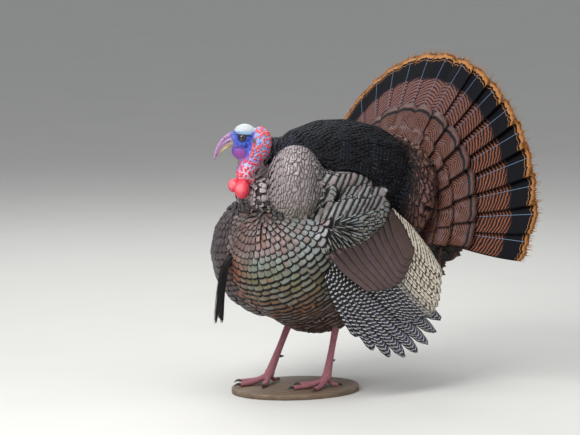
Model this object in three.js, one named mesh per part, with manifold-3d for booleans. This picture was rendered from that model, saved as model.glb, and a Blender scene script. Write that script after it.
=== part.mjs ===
// Wild turkey cock in full strut, a still life-size model in separate solids.
// Millimetres, +Z up. The bird faces -Y and its left side is +X.
// Every solid reaches to the tips of the feathers that it stands for.
import * as THREE from "three";
import { mergeVertices } from "three/addons/utils/BufferGeometryUtils.js";
import Module from "manifold-3d";

const wasm = await Module();
wasm.setup();

// ---------------------------------------------------------------- driving dimensions
const GAP = 0.5; // clearance between solids that meet

const TAIL_ROOT = new THREE.Vector3(0, 190, 369); // where the shafts of the tail feathers meet
const TAIL_LENGTH = 440; // from there to the tip of a tail feather
const TAIL_FEATHERS = 18;
const TAIL_SPACING = 9.43; // degrees from one tail feather to the next
const TAIL_SWEEP = 16; // degrees that every feather leans back out of the fan's plane
const TAIL_LEFT_SWEEP = 7.3; // further degrees by which the left edge of the fan is swept back
const TAIL_TURN = { lean: 13, roll: 7.2, yaw: 3.3 }; // the whole fan, in degrees

const BREAST_RADIUS = 154;
const BREAST_HEIGHT = 309;
const BACK_TOP = 614; // height of the raised back feathers
const BELLY_BOTTOM = 118;
const FLANK = 198; // half the breadth over the wings

const HEAD_AT = new THREE.Vector3(-2, -131, 577); // the middle of the head
const HEAD_TURN = -31; // degrees about the upright, towards the bird's right
const EYE_RADIUS = 7.3;

const LEGS = {
  left: { side: 1, ankle: [58, 37, 24], hock: [66, 62, 165], toeYaw: -6 },
  right: { side: -1, ankle: [-58, -47, 24], hock: [-62, 22, 165], toeYaw: 8 },
};
const BASE = { middle: [0, -12], half: [128, 154], thick: 12 }; // the board under the feet
const SHANK_RADIUS = 8;
const TOE_RADIUS = 6.5;
const CLAW_LENGTH = 17;
const BEARD_ROOT = 318; // height at which the beard leaves the breast
const BEARD_LENGTH = 165;

// ---------------------------------------------------------------- finishes
const finish = (color, roughness = 0.7, metalness = 0) =>
  new THREE.MeshStandardMaterial({ color, roughness, metalness, flatShading: true });

const FINISH = {
  breastFeathers: finish(0x6a5340, 0.45, 0.3),
  mantleFeathers: finish(0x8e8683, 0.45, 0.3),
  coverts: finish(0x84857c, 0.45, 0.3),
  wingPanel: finish(0x5c463a, 0.5, 0.1),
  barredQuills: finish(0x8f8c8b, 0.6),
  tailFeathers: finish(0x5c3a28, 0.6),
  tailCoverts: finish(0x6e4434, 0.6),
  redSkin: finish(0xc22b35, 0.4),
  blueSkin: finish(0x4258a8, 0.45),
  neckSkin: finish(0xc0626c, 0.5),
  horn: finish(0xc9b48a, 0.4),
  darkHorn: finish(0x3a3134, 0.4),
  legScales: finish(0xb4596a, 0.5),
  beardBristle: finish(0x14151a, 0.7),
  eye: finish(0x1c110c, 0.1),
  board: finish(0x8a8178, 0.6),
};

// ---------------------------------------------------------------- working with solids
const degrees = THREE.MathUtils.degToRad;
const vec = (p) => (p.isVector3 ? p.clone() : new THREE.Vector3(...p));

function solidOf(geometry) {
  const bare = geometry.index ? geometry.clone() : mergeVertices(geometry);
  for (const name of Object.keys(bare.attributes))
    if (name !== "position") bare.deleteAttribute(name);
  const merged = mergeVertices(bare, 1e-3);
  const made = new wasm.Manifold(
    new wasm.Mesh({
      numProp: 3,
      vertProperties: new Float32Array(merged.attributes.position.array),
      triVerts: new Uint32Array(merged.index.array),
    }),
  );
  if (made.volume() < 0) throw new Error("a solid is inside out");
  return made;
}

function geometryOf(solid) {
  const mesh = solid.getMesh();
  const geometry = new THREE.BufferGeometry();
  const places = new Float32Array(mesh.numVert * 3);
  for (let i = 0; i < mesh.numVert; i++)
    places.set(mesh.vertProperties.subarray(i * mesh.numProp, i * mesh.numProp + 3), i * 3);
  geometry.setAttribute("position", new THREE.BufferAttribute(places, 3));
  geometry.setIndex(new THREE.BufferAttribute(mesh.triVerts, 1));
  return geometry;
}

// The solid with each vertex moved outwards, as the cutter that leaves a gap around it.
function swollen(solid, by) {
  const geometry = geometryOf(solid);
  geometry.computeVertexNormals();
  const { position, normal } = geometry.attributes;
  for (let i = 0; i < position.count; i++)
    position.setXYZ(
      i,
      position.getX(i) + by * normal.getX(i),
      position.getY(i) + by * normal.getY(i),
      position.getZ(i) + by * normal.getZ(i),
    );
  return solidOf(geometry);
}

const placedBy = (matrix, solid) => solidOf(geometryOf(solid).applyMatrix4(matrix));
const joined = (solids) => solids.reduce((a, b) => a.add(b));
const largest = (solid) =>
  solid.decompose().reduce((a, b) => (b.volume() > a.volume() ? b : a));

const placed = []; // every finished node, in the order in which they cut each other

// Joins the pieces into one node, and cuts it clear of the nodes already there.
function node(name, material, pieces, { turn = new THREE.Matrix4() } = {}) {
  const turned = pieces.map((piece) => placedBy(turn, piece));
  const cutter = joined(turned.map((piece) => swollen(piece, GAP)));
  const box = new THREE.Box3().setFromBufferAttribute(geometryOf(cutter).attributes.position);
  let whole = joined(turned);
  for (const other of placed)
    if (box.intersectsBox(other.box)) whole = whole.subtract(other.cutter);
  placed.push({ name, material, solid: largest(whole), box, cutter });
}

// A rounded mass of feathers or flesh: a sphere stretched to the half sizes given.
function lobe({ at, half, tilt = [0, 0, 0], sides = 12, rings = 8 }) {
  const sphere = new THREE.SphereGeometry(1, sides, rings);
  sphere.rotateX(Math.PI / 2);
  sphere.scale(...half);
  const turn = new THREE.Matrix4().makeRotationFromEuler(new THREE.Euler(...tilt.map(degrees)));
  sphere.applyMatrix4(turn.setPosition(vec(at)));
  return solidOf(sphere);
}

// A closed tube through the points, with its own half breadth and half depth at each.
function limb({ points, radii, flat = 1, sides = 8, steps = 10, up = [0, 0, 1] }) {
  const path = new THREE.CatmullRomCurve3(points.map(vec));
  const sizeAt = (t) => {
    const at = t * (radii.length - 1);
    const low = Math.min(Math.floor(at), radii.length - 2);
    return THREE.MathUtils.lerp(radii[low], radii[low + 1], at - low);
  };
  const places = [];
  const upright = vec(up).normalize();
  for (let i = 0; i <= steps; i++) {
    const t = i / steps;
    const centre = path.getPoint(t);
    const along = path.getTangent(t);
    const across = new THREE.Vector3().crossVectors(along, upright).normalize();
    const over = new THREE.Vector3().crossVectors(across, along).normalize();
    for (let k = 0; k < sides; k++) {
      const angle = (2 * Math.PI * k) / sides;
      const p = centre.clone();
      p.addScaledVector(across, sizeAt(t) * Math.cos(angle));
      p.addScaledVector(over, sizeAt(t) * flat * Math.sin(angle));
      places.push(p);
    }
  }
  places.push(path.getPoint(0), path.getPoint(1));
  const faces = [];
  const start = places.length - 2;
  for (let k = 0; k < sides; k++) {
    const next = (k + 1) % sides;
    faces.push(start, next, k);
    faces.push(start + 1, steps * sides + k, steps * sides + next);
    for (let i = 0; i < steps; i++) {
      const a = i * sides;
      faces.push(a + k, a + next, a + sides + next, a + k, a + sides + next, a + sides + k);
    }
  }
  return solidOf(meshFrom(places, faces));
}

function meshFrom(places, faces) {
  const geometry = new THREE.BufferGeometry().setFromPoints(places);
  geometry.setIndex(faces);
  return outwards(geometry);
}

// Turns the faces round where they make a closed mesh with a negative volume.
function outwards(geometry) {
  const { position } = geometry.attributes;
  const [a, b, c] = [0, 1, 2].map(() => new THREE.Vector3());
  const order = geometry.index.array;
  let volume = 0;
  for (let i = 0; i < order.length; i += 3) {
    a.fromBufferAttribute(position, order[i]);
    b.fromBufferAttribute(position, order[i + 1]);
    c.fromBufferAttribute(position, order[i + 2]);
    volume += a.dot(b.cross(c));
  }
  if (volume < 0)
    for (let i = 0; i < order.length; i += 3) [order[i + 1], order[i + 2]] = [order[i + 2], order[i + 1]];
  return geometry;
}

// A row of long feathers as one sheet, with a scallop or a finger for the end of each. Every feather
// has a root, a tip and the direction it faces, and its two edges lie half way to its neighbours.
// The reach is the outline of one feather's end from edge to edge, as shares of its length. A step
// raises one edge of each feather above the next one.
function featherSheet({ feathers, reach, step = 0, thick = 1.6 }) {
  const columns = [];
  feathers.forEach((feather, i) => {
    const edge = step > 0 ? 0.49 : 0.5;
    reach.forEach((share, c) => {
      const u = edge * ((2 * c) / (reach.length - 1) - 1);
      if (step === 0 && c === 0 && i > 0) return;
      const aside = feathers[i + Math.sign(u)];
      const next = aside ?? feathers[i - Math.sign(u)];
      const part = aside ? Math.abs(u) : -0.7 * Math.abs(u);
      const root = feather.root.clone().lerp(next.root, part);
      const tip = feather.tip.clone().lerp(next.tip, part);
      const face = feather.face.clone().lerp(next.face, part).normalize();
      const end = root.clone().lerp(tip, share).addScaledVector(face, -2 * step * u * share);
      columns.push([root, end].map((p) => ({ p, face })));
    });
  });
  const places = [];
  for (const level of [0.5, -0.5])
    for (const column of columns)
      for (const { p, face } of column) places.push(p.clone().addScaledVector(face, level * thick));
  const wide = columns.length;
  const at = (level, c, end) => (level * wide + c) * 2 + end;
  const faces = [];
  const quad = (i, j, k, l) => faces.push(i, j, k, i, k, l);
  for (let c = 0; c < wide - 1; c++) {
    quad(at(1, c, 0), at(1, c + 1, 0), at(1, c + 1, 1), at(1, c, 1));
    quad(at(0, c, 0), at(0, c, 1), at(0, c + 1, 1), at(0, c + 1, 0));
    quad(at(0, c, 0), at(0, c + 1, 0), at(1, c + 1, 0), at(1, c, 0));
    quad(at(0, c, 1), at(1, c, 1), at(1, c + 1, 1), at(0, c + 1, 1));
  }
  quad(at(0, 0, 0), at(1, 0, 0), at(1, 0, 1), at(0, 0, 1));
  quad(at(0, wide - 1, 0), at(0, wide - 1, 1), at(1, wide - 1, 1), at(1, wide - 1, 0));
  return solidOf(meshFrom(places, faces));
}

// ---------------------------------------------------------------- trunk
const tailTurn = new THREE.Matrix4()
  .makeRotationZ(degrees(TAIL_TURN.yaw))
  .multiply(new THREE.Matrix4().makeRotationX(degrees(-TAIL_TURN.lean)))
  .multiply(new THREE.Matrix4().makeRotationY(degrees(TAIL_TURN.roll)))
  .setPosition(TAIL_ROOT);

// The space behind the tail feathers, a wide cone from their root that the trunk stays out of.
function behindTail() {
  const depth = 120;
  const cone = new THREE.ConeGeometry(depth * Math.tan(degrees(90 - TAIL_SWEEP + 4)), depth, 36);
  cone.rotateX(Math.PI);
  return placedBy(tailTurn, solidOf(cone.translate(0, depth / 2, 0)));
}

function trunk() {
  const breast = [-1, 1].map((side) =>
    lobe({
      at: [side * 42, -40, BREAST_HEIGHT],
      half: [BREAST_RADIUS, BREAST_RADIUS, BREAST_RADIUS],
      sides: 13,
      rings: 8,
    }),
  );
  const back = lobe({ at: [0, 112, BACK_TOP - 150], half: [156, 212, 150], tilt: [-8, 0, 0], sides: 14 });
  const belly = lobe({ at: [0, 40, BELLY_BOTTOM + 130], half: [138, 146, 130] });
  const middle = lobe({ at: [0, 58, 350], half: [172, 160, 170] });
  const rump = lobe({ at: [0, 18, 68], half: [190, 66, 142], tilt: [-9, 0, 0] });
  const inFront = [...breast, back, belly, middle, placedBy(tailTurn, rump)];
  return inFront.map((piece) => piece.subtract(behindTail()));
}

// ---------------------------------------------------------------- head and neck
const headTurn = new THREE.Matrix4().makeRotationZ(degrees(HEAD_TURN)).setPosition(HEAD_AT);

function skull() {
  const cranium = lobe({ at: [0, -13, 12], half: [20, 27, 24], sides: 10, rings: 6 });
  const face = lobe({ at: [0, -18, -6], half: [18, 24, 18], tilt: [8, 0, 0], sides: 8, rings: 6 });
  const nape = lobe({ at: [0, 20, -11], half: [22, 28, 41], tilt: [-6, 0, 0], sides: 10, rings: 6 });
  return [cranium, face, nape];
}

const eyeball = (side) =>
  lobe({
    at: [side * 16, -18.6, 6.5],
    half: [EYE_RADIUS * 0.72, EYE_RADIUS, EYE_RADIUS],
    sides: 8,
    rings: 6,
  });

const bill = (upper) =>
  limb({
    points: upper
      ? [[0, -34, 0], [0, -54, -6], [0, -67, -18], [0, -75, -35]]
      : [[0, -32, -15], [0, -52, -20], [0, -65, -28], [0, -72, -36]],
    radii: upper ? [9, 7.5, 5.5, 1.4] : [8, 6.5, 4.5, 1.2],
    flat: upper ? 0.85 : 0.6,
    sides: 7,
    steps: 5,
  });

// The snood hangs from the forehead over the bill.
const snood = () =>
  limb({
    points: [[0, -37, 13], [0, -52, 7], [0, -66, -3], [0, -75, -17], [0, -79.5, -32], [0, -83, -47]],
    radii: [5.5, 4.3, 4, 3.8, 3.4, 2.4],
    sides: 6,
    steps: 6,
    up: [1, 0, 0],
  });

const throat = () => lobe({ at: [0, -21, -33], half: [14, 25, 18], tilt: [-18, 0, 0], sides: 8, rings: 6 });

const neck = () =>
  limb({
    points: [
      [-2, -118, 552],
      [-2, -130, 526],
      [-2, -143, 508],
      [-2, -150, 491],
      [0, -150, 462],
      [0, -132, 425],
    ],
    radii: [23, 22, 19, 17.5, 20, 26],
    sides: 8,
    steps: 5,
    up: [1, 0, 0],
  });

const caruncle = (at, size) =>
  lobe({ at, half: [size, size * 0.9, size * 1.3], sides: 8, rings: 6 });

// ---------------------------------------------------------------- wings and body lobes
// How far out the wing lies, from the middle of the bird, at a place along it and up it.
const flankX = (y, z) => FLANK - 0.00036 * (y - 20) ** 2 + 0.03 * (300 - z);

// A point on the outside of the wing, on the side given, raised by a layer.
function onFlank(side, y, z, layer = 0) {
  return new THREE.Vector3(side * (flankX(y, z) + layer), y, z);
}

function wingSheet({ side, count, rootFrom, rootTo, angleFrom, angleTo, lengths, layer, ...rest }) {
  const feathers = [];
  for (let i = 0; i < count; i++) {
    const t = i / (count - 1);
    const angle = degrees(THREE.MathUtils.lerp(angleFrom, angleTo, t));
    const length = lengths(t);
    const [y, z] = [0, 1].map((k) => THREE.MathUtils.lerp(rootFrom[k], rootTo[k], t));
    const tipY = y + length * Math.cos(angle);
    const tipZ = z - length * Math.sin(angle);
    feathers.push({
      root: onFlank(side, y, z, layer),
      tip: onFlank(side, tipY, tipZ, layer),
      face: new THREE.Vector3(side, 0, 0),
    });
  }
  return featherSheet({ feathers, ...rest });
}

// The right wing is held higher than the left.
const primaries = (side) =>
  wingSheet({
    side,
    count: 9,
    rootFrom: [-30, 312],
    rootTo: [-46, 286],
    angleFrom: side > 0 ? 27 : 20,
    angleTo: side > 0 ? 62 : 50,
    lengths: (t) => 348 - 178 * t ** 2.4,
    layer: -6,
    reach: [0.72, 1, 0.98, 0.72],
  });

const secondaries = (side) =>
  wingSheet({
    side,
    count: 8,
    rootFrom: [128, 420],
    rootTo: [10, 322],
    angleFrom: 47,
    angleTo: 45,
    lengths: (t) => 222 + 12 * t + 42 * Math.sin(Math.PI * t),
    layer: -1,
    reach: [0.94, 1, 0.94],
  });

const greaterCoverts = (side) =>
  wingSheet({
    side,
    count: 7,
    rootFrom: [122, 425],
    rootTo: [-44, 330],
    angleFrom: 62,
    angleTo: 36,
    lengths: (t) => 104 + 62 * Math.sin(Math.PI * (0.15 + 0.6 * t)),
    layer: 5,
    reach: [0.96, 1, 0.96],
  });

const lesserCoverts = (side) =>
  lobe({ at: [side * 176, 26, 388], half: [38, 122, 60], tilt: [34, 0, side * -4], rings: 7 });

const scapulars = (side) =>
  lobe({ at: [side * 140, 12, 462], half: [52, 92, 56], tilt: [6, 0, side * -8], rings: 7 });

// The lobe on the right stands further back, because the head is turned towards it.
const mantle = (side) =>
  lobe({ at: side > 0 ? [106, -78, 484] : [-90, -40, 488], half: [74, 72, 92] });

// ---------------------------------------------------------------- tail
// A fan of feathers round the tail root, before it is turned: upright, with its axis along +Y.
function tailFan({ count, spacing, sweep, from, length, ...rest }) {
  const feathers = [];
  for (let i = 0; i < count; i++) {
    const angle = degrees((i - (count - 1) / 2) * spacing);
    const out = new THREE.Vector3(Math.sin(angle), 0, Math.cos(angle));
    const swept = degrees(sweep + (angle > 0 ? TAIL_LEFT_SWEEP * Math.sin(angle) ** 2 : 0));
    const along = out.clone().multiplyScalar(Math.cos(swept));
    along.y = Math.sin(swept);
    const side = new THREE.Vector3(Math.cos(angle), 0, -Math.sin(angle));
    feathers.push({
      root: along.clone().multiplyScalar(from),
      tip: along.clone().multiplyScalar(length(angle)),
      face: new THREE.Vector3().crossVectors(side, along).normalize(),
    });
  }
  return featherSheet({ feathers, ...rest });
}

// The outermost pair is a little shorter than the others.
const tailFeathers = () =>
  tailFan({
    count: TAIL_FEATHERS,
    spacing: TAIL_SPACING,
    sweep: TAIL_SWEEP,
    from: 24,
    length: (angle) => TAIL_LENGTH * (Math.abs(angle) > 1.35 ? 0.96 : 1),
    reach: [0.985, 1, 0.985],
    step: 1.4,
  });

const tailCoverts = () =>
  tailFan({
    count: 11,
    spacing: 15.2,
    sweep: TAIL_SWEEP - 4,
    from: 40,
    length: (angle) => TAIL_LENGTH * (0.59 + 0.07 * Math.cos(angle)),
    reach: [0.93, 1, 0.93],
  });

const underTail = () =>
  limb({
    points: [[0, 200, 345], [0, 270, 330], [0, 350, 302], [0, 436, 278]],
    radii: [50, 80, 80, 34],
    flat: 0.32,
    sides: 10,
    steps: 4,
  });

// ---------------------------------------------------------------- legs
function thigh({ hock }) {
  return limb({
    points: [
      [hock[0] * 1.15, hock[1] + 6, 230],
      [hock[0] * 1.1, hock[1] + 6, 190],
      [hock[0], hock[1], 138],
    ],
    radii: [46, 34, 15],
    sides: 10,
    steps: 5,
    up: [1, 0, 0],
  });
}

function shank({ ankle, hock }) {
  const foot = vec(ankle);
  const knee = vec(hock);
  return limb({
    points: [knee, knee.clone().lerp(foot, 0.5), foot],
    radii: [SHANK_RADIUS * 1.25, SHANK_RADIUS * 0.95, SHANK_RADIUS * 1.3],
    sides: 7,
    steps: 2,
    up: [1, 0, 0],
  });
}

// Each toe's direction in degrees from straight ahead, outwards positive, and its length.
const TOES = [
  { name: "middle", turn: 2, length: 86 },
  { name: "inner", turn: -38, length: 62 },
  { name: "outer", turn: 40, length: 66 },
  { name: "hind", turn: 168, length: 27 },
];

function toePath({ side, ankle, toeYaw }, { turn, length, name }) {
  const angle = degrees(side * turn + toeYaw);
  const ahead = new THREE.Vector3(Math.sin(angle), -Math.cos(angle), 0);
  const start = vec(ankle);
  const rise = name === "hind" ? 0.9 : 1;
  return [0, 0.3, 0.62, 1].map((t, i) => {
    const p = start.clone().addScaledVector(ahead, t * length);
    p.z = [start.z * rise, TOE_RADIUS + 5, TOE_RADIUS - 0.6, TOE_RADIUS - 1.6][i];
    return p;
  });
}

function foot(leg) {
  const toes = TOES.map((toe) =>
    limb({
      points: toePath(leg, toe),
      radii: [1.2, 1, 1, 0.8].map((share) => share * (toe.name === "hind" ? 5.2 : TOE_RADIUS)),
      sides: 5,
      steps: 3,
      up: [0, 0, 1],
    }),
  );
  const joint = lobe({ at: leg.ankle, half: [12, 12, 12], sides: 7, rings: 5 });
  return [joint, ...toes].map(onFloor);
}

function claw(leg, toe) {
  const path = toePath(leg, toe);
  const end = path[3];
  const ahead = end.clone().sub(path[2]).setZ(0).normalize();
  const length = toe.name === "hind" ? 0.6 * CLAW_LENGTH : CLAW_LENGTH;
  const tip = end.clone().addScaledVector(ahead, length).setZ(1.2);
  const middle = end.clone().addScaledVector(ahead, length * 0.5).setZ(TOE_RADIUS * 0.95);
  return limb({ points: [end, middle, tip], radii: [3.6, 2.8, 0.8], sides: 5, steps: 2 });
}

function spur({ side, ankle, hock }) {
  const root = vec(ankle).lerp(vec(hock), 0.3);
  const tip = root.clone().add(new THREE.Vector3(-side * 6, 27, -8));
  const middle = root.clone().lerp(tip, 0.5).add(new THREE.Vector3(0, 0, -3));
  return limb({ points: [root, middle, tip], radii: [5.5, 3.6, 0.9], sides: 6, steps: 3 });
}

// The oval board that keeps the model from tipping back. Its top is level with the soles.
function base() {
  const disc = new THREE.CylinderGeometry(1, 1, 1, 28).rotateX(Math.PI / 2);
  disc.scale(...BASE.half, BASE.thick);
  disc.translate(...BASE.middle, -BASE.thick / 2 - GAP);
  return solidOf(disc);
}

// The parts below the soles are cut away, which leaves small flats under the toes.
function onFloor(solid) {
  const below = solidOf(new THREE.BoxGeometry(1200, 1200, 100).translate(0, 0, -50));
  return solid.subtract(below);
}

const beard = () =>
  limb({
    points: [
      [-4, -176, BEARD_ROOT],
      [-6, -196, BEARD_ROOT - 28],
      [-8, -206, BEARD_ROOT - 78],
      [-6, -212, BEARD_ROOT - 130],
      [-4, -216, BEARD_ROOT - BEARD_LENGTH],
    ],
    radii: [9, 11, 10, 8, 2],
    flat: 0.6,
    sides: 8,
    steps: 8,
    up: [0, 1, 0],
  });

// ---------------------------------------------------------------- the bird, in the order of cutting
for (const [name, side] of [["left", 1], ["right", -1]])
  node(`eye_${name}`, FINISH.eye, [eyeball(side)], { turn: headTurn });
node("bill_upper", FINISH.horn, [bill(true)], { turn: headTurn });
node("bill_lower", FINISH.horn, [bill(false)], { turn: headTurn });
node("head", FINISH.blueSkin, skull(), { turn: headTurn });
node("snood", FINISH.redSkin, [snood()], { turn: headTurn });
node("throat", FINISH.blueSkin, [throat()], { turn: headTurn });
node("caruncle_left", FINISH.redSkin, [caruncle([12, -163, 466], 17)]);
node("caruncle_right", FINISH.redSkin, [caruncle([-16, -167, 469], 14)]);
node("neck", FINISH.neckSkin, [neck()]);
node("beard", FINISH.beardBristle, [beard()]);
node("trunk", FINISH.breastFeathers, trunk());
for (const [name, side] of [["left", 1], ["right", -1]]) {
  node(`mantle_${name}`, FINISH.mantleFeathers, [mantle(side)]);
  node(`scapulars_${name}`, FINISH.coverts, [scapulars(side)]);
  node(`wing_${name}_coverts`, FINISH.coverts, [lesserCoverts(side)]);
  node(`wing_${name}_panel`, FINISH.wingPanel, [greaterCoverts(side)]);
  node(`wing_${name}_secondaries`, FINISH.barredQuills, [secondaries(side)]);
  node(`wing_${name}_primaries`, FINISH.barredQuills, [primaries(side)]);
}
node("under_tail", FINISH.tailCoverts, [underTail()]);
node("tail_coverts", FINISH.tailCoverts, [tailCoverts()], { turn: tailTurn });
node("tail_fan", FINISH.tailFeathers, [tailFeathers()], { turn: tailTurn });
for (const [name, leg] of Object.entries(LEGS)) {
  for (const toe of TOES) node(`claw_${name}_${toe.name}`, FINISH.darkHorn, [onFloor(claw(leg, toe))]);
  node(`spur_${name}`, FINISH.darkHorn, [spur(leg)]);
  node(`foot_${name}`, FINISH.legScales, foot(leg));
  node(`shank_${name}`, FINISH.legScales, [shank(leg)]);
  node(`thigh_${name}`, FINISH.breastFeathers, [thigh(leg)]);
}

node("stand_base", FINISH.board, [base()]);

// The bird is set down with the middle of its outline box over the origin and its base on the floor.
const turkey = new THREE.Group();
turkey.name = "wild_turkey";
for (const { name, material, solid } of placed) {
  const mesh = new THREE.Mesh(geometryOf(solid), material);
  mesh.name = name;
  turkey.add(mesh);
}
const outline = new THREE.Box3().setFromObject(turkey);
const middle = outline.getCenter(new THREE.Vector3());
for (const { geometry } of turkey.children) geometry.translate(-middle.x, -middle.y, -outline.min.z);

export default turkey;
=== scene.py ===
"""A life-size wild turkey cock in full strut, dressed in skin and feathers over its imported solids."""

import math

import bmesh
import bpy
import numpy as np
from bpy.props import FloatProperty, FloatVectorProperty, IntProperty, PointerProperty
from mathutils import Matrix, Vector, kdtree, noise
from mathutils.bvhtree import BVHTree


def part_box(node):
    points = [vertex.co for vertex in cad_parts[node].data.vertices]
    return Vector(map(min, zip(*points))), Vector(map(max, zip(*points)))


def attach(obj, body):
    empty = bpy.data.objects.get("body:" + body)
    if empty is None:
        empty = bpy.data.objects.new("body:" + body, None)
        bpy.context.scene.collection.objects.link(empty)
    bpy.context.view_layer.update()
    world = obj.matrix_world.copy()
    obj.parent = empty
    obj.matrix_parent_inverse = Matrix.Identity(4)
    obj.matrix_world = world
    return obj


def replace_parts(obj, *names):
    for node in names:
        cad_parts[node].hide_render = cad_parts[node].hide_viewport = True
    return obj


bl_info = {
    "name": "Strutting Turkey",
    "version": (1, 0, 0),
    "blender": (4, 5, 0),
    "location": "View3D > Sidebar > Turkey",
    "description": "Skin, feathers, bill, beard and legs of a wild turkey cock in full strut",
    "category": "Object",
}

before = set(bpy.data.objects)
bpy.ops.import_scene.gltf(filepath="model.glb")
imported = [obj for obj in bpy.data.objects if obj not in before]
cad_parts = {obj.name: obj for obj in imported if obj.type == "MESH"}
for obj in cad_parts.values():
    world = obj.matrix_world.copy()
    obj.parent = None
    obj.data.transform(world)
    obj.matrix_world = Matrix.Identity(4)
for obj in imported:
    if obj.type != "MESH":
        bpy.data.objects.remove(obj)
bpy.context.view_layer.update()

# Shapes are worked out in millimetres round the bird's own middle, on the ground between its feet.
# The board's place gives the way from there to the frame.
BOARD = np.array(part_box("stand_base"), float)
ORIGIN = BOARD.mean(axis=0) - np.array((0.0, -0.012, -0.0065))

HEAD_AT = np.array((-2.0, -131.0, 577.0))
HEAD_TURN = -31
EYE = (16.0, -18.6, 6.5)
TAIL_ROOT = np.array((0.0, 190.0, 369.0))
TAIL_SWEEP = 16
TAIL_LEFT_SWEEP = 7.3
TAIL_TURN = {"lean": 13, "roll": 7.2, "yaw": 3.3}
FLANK = 198
FLESH = ["trunk", "under_tail", "neck", "head", "throat", "snood"]
PAIRED_FLESH = ["mantle", "scapulars", "thigh", "shank", "foot", "caruncle"]
LEGS = {
    "left": {"side": 1, "ankle": (58, 37, 24), "hock": (66, 62, 165), "yaw": -6},
    "right": {"side": -1, "ankle": (-58, -47, 24), "hock": (-62, 22, 165), "yaw": 8},
}
TOES = [("middle", 2, 86), ("inner", -38, 62), ("outer", 40, 66), ("hind", 168, 27)]
TOE_RADIUS = 6.5


# ---------------------------------------------------------------- sums on arrays
def unit(v):
    """The vectors at length one."""
    return v / np.maximum(np.linalg.norm(v, axis=-1, keepdims=True), 1e-9)


def turned(x=0, y=0, z=0):
    """A turn by degrees about Z, then Y, then X."""
    return np.array(
        Matrix.Rotation(math.radians(x), 3, "X")
        @ Matrix.Rotation(math.radians(y), 3, "Y")
        @ Matrix.Rotation(math.radians(z), 3, "Z")
    )


def soft(x, low, high):
    """A smooth step from 0 at low to 1 at high."""
    t = np.clip((np.asarray(x, float) - low) / (high - low), 0, 1)
    return t * t * (3 - 2 * t)


def blend(a, b, share):
    """The colours or places from a to b, by the share of b."""
    share = np.asarray(share, float)[..., None]
    return np.asarray(a) * (1 - share) + np.asarray(b) * share


def tone(code):
    """The linear colour of a six-figure colour code."""
    parts = [int(code[i : i + 2], 16) / 255 for i in (0, 2, 4)]
    return tuple(c / 12.92 if c <= 0.04045 else ((c + 0.055) / 1.055) ** 2.4 for c in parts)


def spline(points, count):
    """Places along a smooth curve through the points."""
    points = np.asarray(points, float)
    ends = np.vstack([2 * points[0] - points[1], points, 2 * points[-1] - points[-2]])
    t = np.linspace(0, len(points) - 1, count)
    i = np.minimum(t.astype(int), len(points) - 2)
    u = (t - i)[:, None]
    a, b, c, d = (ends[i + k] for k in range(4))
    return 0.5 * (
        2 * b + (c - a) * u + (2 * a - 5 * b + 4 * c - d) * u**2 + (3 * b - a - 3 * c + d) * u**3
    )


HEAD = turned(z=HEAD_TURN)
TAIL = turned(z=TAIL_TURN["yaw"]) @ turned(x=-TAIL_TURN["lean"]) @ turned(y=TAIL_TURN["roll"])


def in_tail(places):
    """Places of the bird as seen from the tail root: across the fan, behind it and up it."""
    return (places - TAIL_ROOT) @ TAIL


def before_fan(places):
    """How far in front of the fan's feathers each place lies."""
    x, y, z = in_tail(places).T
    angle = np.arctan2(x, z)
    sweep = np.radians(TAIL_SWEEP + np.where(x > 0, TAIL_LEFT_SWEEP * np.sin(angle) ** 2, 0))
    return (np.hypot(x, z) * np.tan(sweep) - y) * np.cos(sweep)


# ---------------------------------------------------------------- shapes for the skin
def add_lobe(shape, at, half, tilt=(0, 0, 0), turn=None, origin=(0, 0, 0)):
    """Adds a stretched ball to a bmesh."""
    turn = np.eye(3) if turn is None else turn
    placing = np.eye(4)
    placing[:3, :3] = turn @ turned(*tilt) @ np.diag(half)
    placing[:3, 3] = turn @ np.array(at, float) + np.array(origin)
    bmesh.ops.create_icosphere(shape, subdivisions=4, radius=1, matrix=Matrix(placing.tolist()))


def add_limb(shape, points, radii, flat=1, up=(0, 0, 1), turn=None, origin=(0, 0, 0), steps=28):
    """Adds a closed round tube through the points to a bmesh."""
    turn = np.eye(3) if turn is None else turn
    path = spline(points, steps)
    sizes = spline(np.array(radii, float)[:, None].repeat(3, 1), steps)[:, 0]
    along = unit(np.gradient(path, axis=0))
    across = unit(np.cross(along, np.array(up, float)))
    over = np.cross(across, along)
    angles = np.linspace(0, 2 * np.pi, 20, endpoint=False)
    rings = []
    for i in range(steps):
        ring = path[i] + sizes[i] * (
            np.outer(np.cos(angles), across[i]) + flat * np.outer(np.sin(angles), over[i])
        )
        rings.append([shape.verts.new(p) for p in ring @ turn.T + np.array(origin)])
    for low, high in zip(rings, rings[1:]):
        for k in range(20):
            n = (k + 1) % 20
            shape.faces.new((low[k], low[n], high[n], high[k]))
    shape.faces.new(rings[0][::-1])
    shape.faces.new(rings[-1])


def melted(shape, voxel, rounds):
    """One closed skin of quads round the overlapping shapes of a bmesh, with its normals."""
    mesh = bpy.data.meshes.new("melting")
    bmesh.ops.recalc_face_normals(shape, faces=shape.faces)
    shape.to_mesh(mesh)
    shape.free()
    thing = bpy.data.objects.new("melting", mesh)
    bpy.context.scene.collection.objects.link(thing)
    remesh = thing.modifiers.new("remesh", "REMESH")
    remesh.mode = "VOXEL"
    remesh.voxel_size = voxel
    smooth = thing.modifiers.new("smooth", "SMOOTH")
    smooth.iterations = rounds
    depsgraph = bpy.context.evaluated_depsgraph_get()
    made = bpy.data.meshes.new_from_object(thing.evaluated_get(depsgraph))
    places, quads, normals = arrays(made)
    bpy.data.objects.remove(thing)
    bpy.data.meshes.remove(mesh)
    bpy.data.meshes.remove(made)
    return places, quads, normals


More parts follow.
